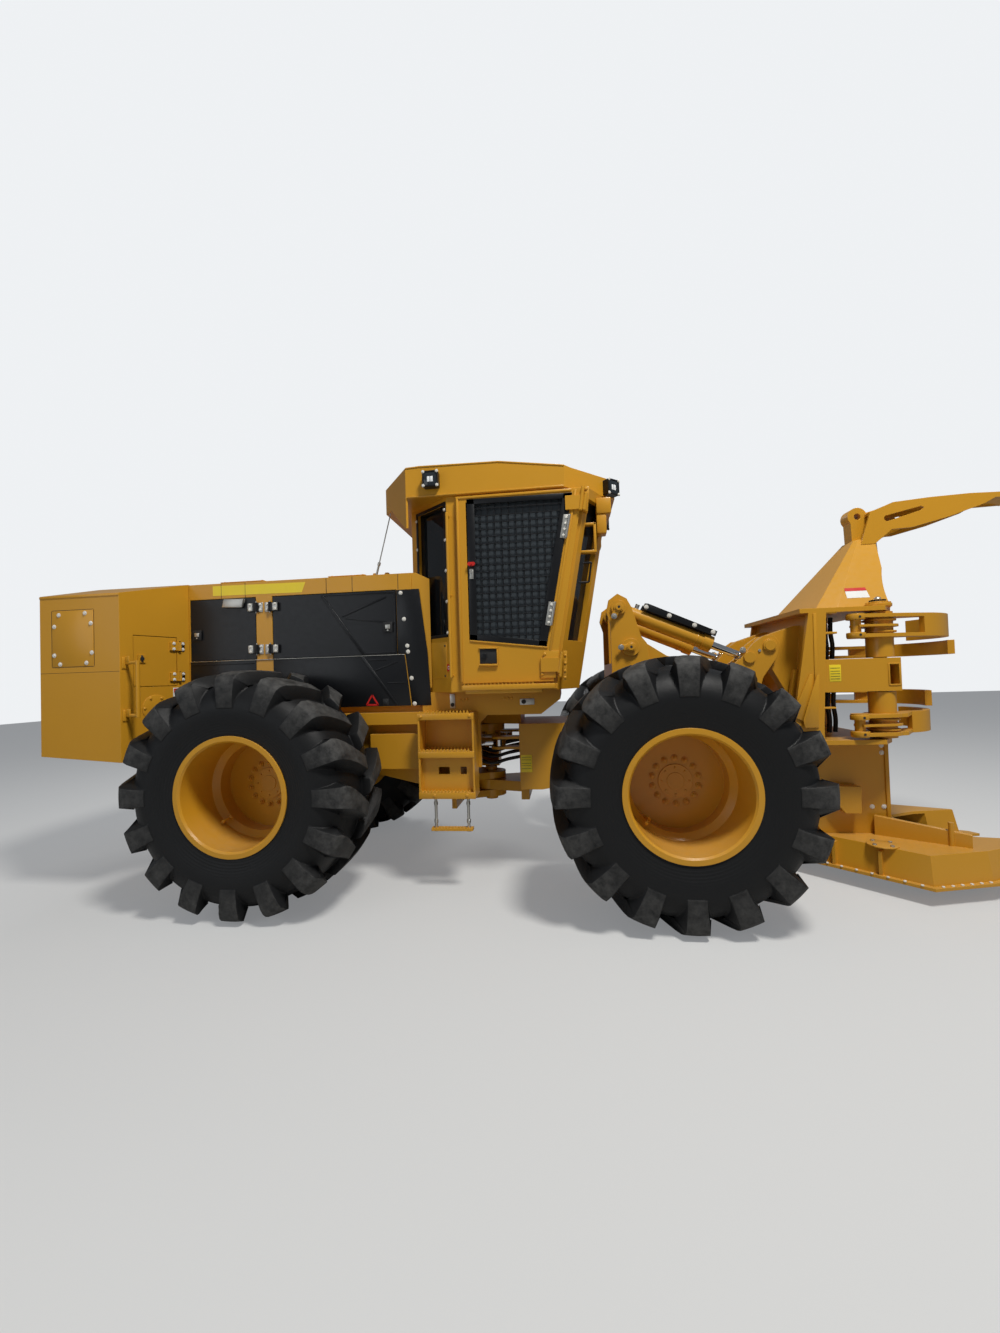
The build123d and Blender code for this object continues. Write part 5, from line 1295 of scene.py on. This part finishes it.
for i, y in enumerate((-300, -360)):
    hose(f"ram_hose_{i}", [in_ram(d, 84, y) for d in (200, 380, 600, 800)], 15, "lift_barrels")
for i, y in enumerate((-180, -130, 130, 180, 60, -60)):
    hose(f"tower_hose_{i}", [
        (2830, y, 1430), (2842, y * 0.97, 1620), (2930, y * 0.92, 1780), (3120, y * 0.85, 1830),
        (3330, y * 0.8, 1730),
    ], 16, "front", "lift_arm")
print("tower and arm ready")

# %% [markdown]
# ## Felling head
#
# The head is one colour, so its look comes from plates, collars, bolts and labels: triangular fins
# at the rear edge, a big pin cap on the deck, collars with set screws on the levers, a bolted round
# cover on the saw housing and rows of flange bolts.

# %% Head frame fittings
HEAD_SIDE = side_face(-620)
PLATE_SIDE = side_face(-600)
PIN_X, PIN_Y = 4860, 500


def upright_rods(x, y, ring, angles, z0, z1, radius):
    """Upright six-sided bars on a ring round a plan point, one at each angle."""
    spots = [(x + ring * math.cos(a), y + ring * math.sin(a)) for a in angles]
    return [rod((sx, sy, z0), (sx, sy, z1), radius, 6) for sx, sy in spots]


fit("head_fins", [
    prism(
        [(4150, 1370), (4282, 1660), (4300, 1660), (4280, 1262), (4160, 1330)], side_face(-622), 0, 12,
        2,
    ),
    prism(
        [(4210, 1310), (4325, 1655), (4340, 1655), (4320, 1250), (4220, 1250)], side_face(-640), 0, 12,
        2,
    ),
], "head", yellow, "head")
fit("head_side_ribs", [
    patch(4320, 4500, 2126, 2138, side_face(-560), 0, 58, 2),
    patch(4330, 4500, 1968, 1984, side_face(-560), 0, 52, 2),
    patch(4330, 4470, 1388, 1402, side_face(-560), 0, 52, 2),
], "head", yellow, "head")
fit("head_edge_strip", [ridge((4322, 1245), (4336, 2130), 22, HEAD_SIDE, 0, 8, 2)], "head", yellow, "head")
fit("head_label", [patch(4436, 4520, 1598, 1728, PLATE_SIDE, 0, 2, 0.5)], "head", yellow_label)
fit("head_label_lines", [
    patch(4444, 4512, v, v + 4, PLATE_SIDE, 2, 2.6) for v in (1616, 1636, 1656, 1676, 1700)
], "head", plastic)
fit("head_window_ring", [
    ridge((4862, 1562), (4938, 1562), 12, PLATE_SIDE, 0, 6, 3),
    ridge((4862, 1724), (4938, 1724), 12, PLATE_SIDE, 0, 6, 3),
    ridge((4862, 1558), (4862, 1728), 12, PLATE_SIDE, 0, 6, 3),
    ridge((4938, 1558), (4938, 1728), 12, PLATE_SIDE, 0, 6, 3),
], "head", yellow, "head")
caps = [
    rod((PIN_X, -PIN_Y, z0), (PIN_X, -PIN_Y, z1), r, 48)
    for z0, z1, r in ((2170, 2196, 92), (2196, 2212, 70))
]
cap_disc = rod((PIN_X, -PIN_Y, 2211), (PIN_X, -PIN_Y, 2226), 56, 40)
dome = ball((PIN_X, -PIN_Y, 2228), 27)
fit("pin_caps", [bevel(joined("caps", caps), 4, 2)], "head", yellow, "head")
fit("pin_cap_discs", [cap_disc], "head", black, "head")
fit("pin_cap_domes", [dome], "head", zinc, "head")
fit("pin_cap_bolts", upright_rods(PIN_X, -PIN_Y, 78, [i * math.pi / 4 for i in range(8)], 2194, 2206, 10),
    "head", yellow, "head")
COLUMN = side_face(-300)
fit("column_bolts", [
    bolt_heads(
        COLUMN, [(4890, 1090), (4950, 1060), (4950, 1000), (4860, 560), (4950, 560), (4950, 420)], 13,
        9, 12,
    ),
], "head", bolt_white, "head")
fit("column_edge", [ridge((4982, 360), (4982, 1100), 30, COLUMN, 0, 12, 3)], "head", yellow, "head")
for i, (x, y) in enumerate(
    (
        (4545, -215), (4580, -250), (4612, -285), (4560, -300), (4545, 215), (4580, 250), (4612, 285),
        (4560, 300),
    )
):
    for low, high, tag in ((1172, 1508, "low"), (1778, 2122, "high")):
        middle = (low + high) / 2
        hose(f"head_hose_{tag}_{i}", [
            (x, y, low), (x + 9, y + 6, middle - 60), (x - 7, y - 5, middle + 50), (x, y, high),
        ], 17, "head")


def decal(name, node, corners, side, material, slot, lift=1.5):
    """Thin label laid on a CAD node: its (x, z) corners are dropped onto the surface along y."""
    shell = bpy.data.objects[node]
    clear_selection()
    bpy.ops.mesh.primitive_plane_add(size=1)
    label = bpy.context.active_object
    order = ((-1, -1), (1, -1), (1, 1), (-1, 1))
    for vertex in label.data.vertices:
        x, z = corners[order.index((round(vertex.co.x * 2), round(vertex.co.y * 2)))]
        start = at(x, side * 1500, z)
        hit, place, normal, _ = shell.ray_cast(start, Vector((0, -side, 0)))
        vertex.co = place + normal * lift / 1000 if hit else start
    label.name = name
    dress(label, "head", material, slot)


decal(
    "cone_label", "head_frame", [(4668, 2258), (4838, 2258), (4832, 2346), (4674, 2346)], -1,
    white_label, "lamp_housing",
)
decal(
    "cone_label_band", "head_frame", [(4671, 2318), (4835, 2318), (4832, 2346), (4674, 2346)], -1,
    red_label, "lamp_housing", 2.4,
)
print("head frame ready")

# %% Arms: collars, set screws and extra plates
for side, hand, body, bands in (
    ("right", -1, "arm_right", ((1930, 2110), (1172, 1340))),
    ("left", 1, "arm_left", ((1790, 1905), (1366, 1494))),
):
    rings, screws, hubs = [], [], []
    for z0, z1 in bands:
        for z in (z0 + 20, z1 - 22):
            rings.append(rod((4640, hand * 600, z - 20), (4640, hand * 600, z + 20), 64, 40))
            screws.append(rod((4640, hand * 663, z), (4640, hand * 667, z), 9, 20))
        for z in (z0 + 44, (z0 + z1) / 2, z1 - 46):
            hubs.append(rod((PIN_X, hand * PIN_Y, z - 7), (PIN_X, hand * PIN_Y, z + 7), 112, 48))
    ring = bevel(joined(f"lever_collars_{side}", rings), 5, 2)
    dress(ring, body, yellow, "yellow_paint")
    dress(joined(f"lever_screws_{side}", screws), body, plastic, "dark_plastic")
    hub = bevel(joined(f"hub_plates_{side}", hubs), 3, 2)
    dress(hub, body, yellow, "yellow_paint")
print("arms ready")

# %% Saw housing: round cover, flange bolts, label
cover = bevel(rod((4760, -600, 344), (4760, -600, 354), 104, 48), 3, 2)
fit("housing_cover", [cover], "head", yellow, "head")
fit("housing_cover_bolts", upright_rods(4760, -600, 78, (0.4, 1.97, 3.54, 5.11), 353, 364, 14),
    "head", zinc, "head")
flange = []
for (xa, ya), (xb, yb), count in (
    ((4262, -262), (4905, -905), 9), ((4950, -904), (5400, -784), 6), ((5440, -772), (6080, -482), 7),
):
    for i in range(count):
        t = (i + 0.5) / count
        x, y = xa + (xb - xa) * t, ya + (yb - ya) * t + 14
        flange.append(rod((x, y, 139), (x, y, 149), 11, 6))
fit("housing_flange_bolts", [bevel(joined("flange_bolts", flange), 1.5, 1)], "head", bolt_white, "head")
SPLASH = surface(4860, -325, (0.8268, -0.5625), (-0.5625, -0.8268))
fit("housing_label", [patch(330, 450, 366, 432, SPLASH, 0, 2, 0.5)], "head", yellow_label)
fit("housing_label_lines", [
    patch(338, 442, v, v + 4, SPLASH, 2, 2.6) for v in (378, 392, 406)
], "head", plastic)
fit("housing_label_head", [patch(334, 446, 416, 430, SPLASH, 2, 2.6)], "head", plastic)
fit("splash_edges", [ridge((0, 494), (588, 436), 14, SPLASH, -20, 4, 4)], "head", yellow, "head")
print("saw housing ready")

# %% [markdown]
# ## Saw disc
#
# The disc and its teeth come from the CAD model. A bolt near each tooth and a ring round the hub
# are added here.

# %% Saw bolts and hub ring
SAW_X = 5120
SAW_BOLTS = 18
angles = [2 * math.pi * i / SAW_BOLTS for i in range(SAW_BOLTS)]
fit("saw_bit_bolts", upright_rods(SAW_X, 0, 640, angles, 205, 213, 15), "saw_disc", zinc)
fit("saw_hub_ring", [bevel(rod((SAW_X, 0, 206), (SAW_X, 0, 216), 150, 48), 3, 2)], "saw_disc", saw_steel)
print("saw ready")

# %% [markdown]
# ## Seat
#
# Each cushion starts as a slightly smaller block.


# %% Seat cushions
SWELL_LIMIT = 0.024  # metres a point may move when the cushion is blown up
SEAM_DEPTH = 0.009
SEAM_WIDTH = 0.008


def cushion(name, low, high, seams, inwards):
    """Padded block between two corners (mm); seams are (axis, place) lines pressed along inwards."""
    pad = box(low[0] + 16, high[0] - 16, low[1] + 16, high[1] - 16, low[2] + 12, high[2] - 16)
    active(pad)
    remesh = pad.modifiers.new("remesh", "REMESH")
    remesh.mode = "VOXEL"
    remesh.voxel_size = 0.008
    bpy.ops.object.modifier_apply(modifier="remesh")
    bpy.ops.object.transform_apply(location=True, rotation=True, scale=True)
    before = [vertex.co.copy() for vertex in pad.data.vertices]
    cloth_sim = pad.modifiers.new("cloth", "CLOTH")
    cloth_sim.settings.use_pressure = True
    cloth_sim.settings.uniform_pressure_force = 4
    cloth_sim.settings.effector_weights.gravity = 0
    for step in range(1, 21):
        bpy.context.scene.frame_set(step)
    active(pad)
    bpy.ops.object.modifier_apply(modifier="cloth")
    bpy.context.scene.frame_set(1)
    for vertex, start in zip(pad.data.vertices, before):
        moved = vertex.co - start
        if moved.length > SWELL_LIMIT:
            vertex.co = start + moved * (SWELL_LIMIT / moved.length)
    corner_low, corner_high = at(*low), at(*high)
    for vertex in pad.data.vertices:
        for axis in range(3):
            inside = min(max(vertex.co[axis], corner_low[axis] + 0.001), corner_high[axis] - 0.001)
            vertex.co[axis] = inside
        for axis, place in seams:
            line = at(*[place] * 3)[axis]
            press = SEAM_DEPTH * math.exp(-(((vertex.co[axis] - line) / SEAM_WIDTH) ** 2))
            if vertex.normal.dot(inwards) < -0.5:
                vertex.co += inwards * press
    active(pad)
    rounder = pad.modifiers.new("round", "SUBSURF")
    rounder.levels = 1
    rounder.render_levels = 1
    bpy.ops.object.modifier_apply(modifier="round")
    pad.name = name
    dress(pad, "rear", cloth, "seat_cloth", 60)
    return pad


DOWN = Vector((0, 0, -1))
BACK = Vector((-1, 0, 0))
seat_pad = cushion(
    "seat_cushion", (1560, -250, 2080), (2060, 250, 2190), [(1, -150), (1, 150), (0, 1700), (0, 1860)],
    DOWN,
)
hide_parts("seat")
back_pad = cushion(
    "seat_backrest", (1470, -240, 2192), (1580, 240, 2800), [(1, -150), (1, 150), (2, 2360), (2, 2560)],
    BACK,
)
fit("seat_lever_balls", [ball((2000, y, 2452), 26) for y in (-330, 330)], "rear", plastic)
fit("arm_rest_tops", [
    bevel(box(1604, 2056, y - 56, y + 56, 2310, 2322), 5, 2) for y in (-330, 330)
], "rear", plastic)
print("seat ready:", len(seat_pad.data.polygons), "and", len(back_pad.data.polygons), "faces")
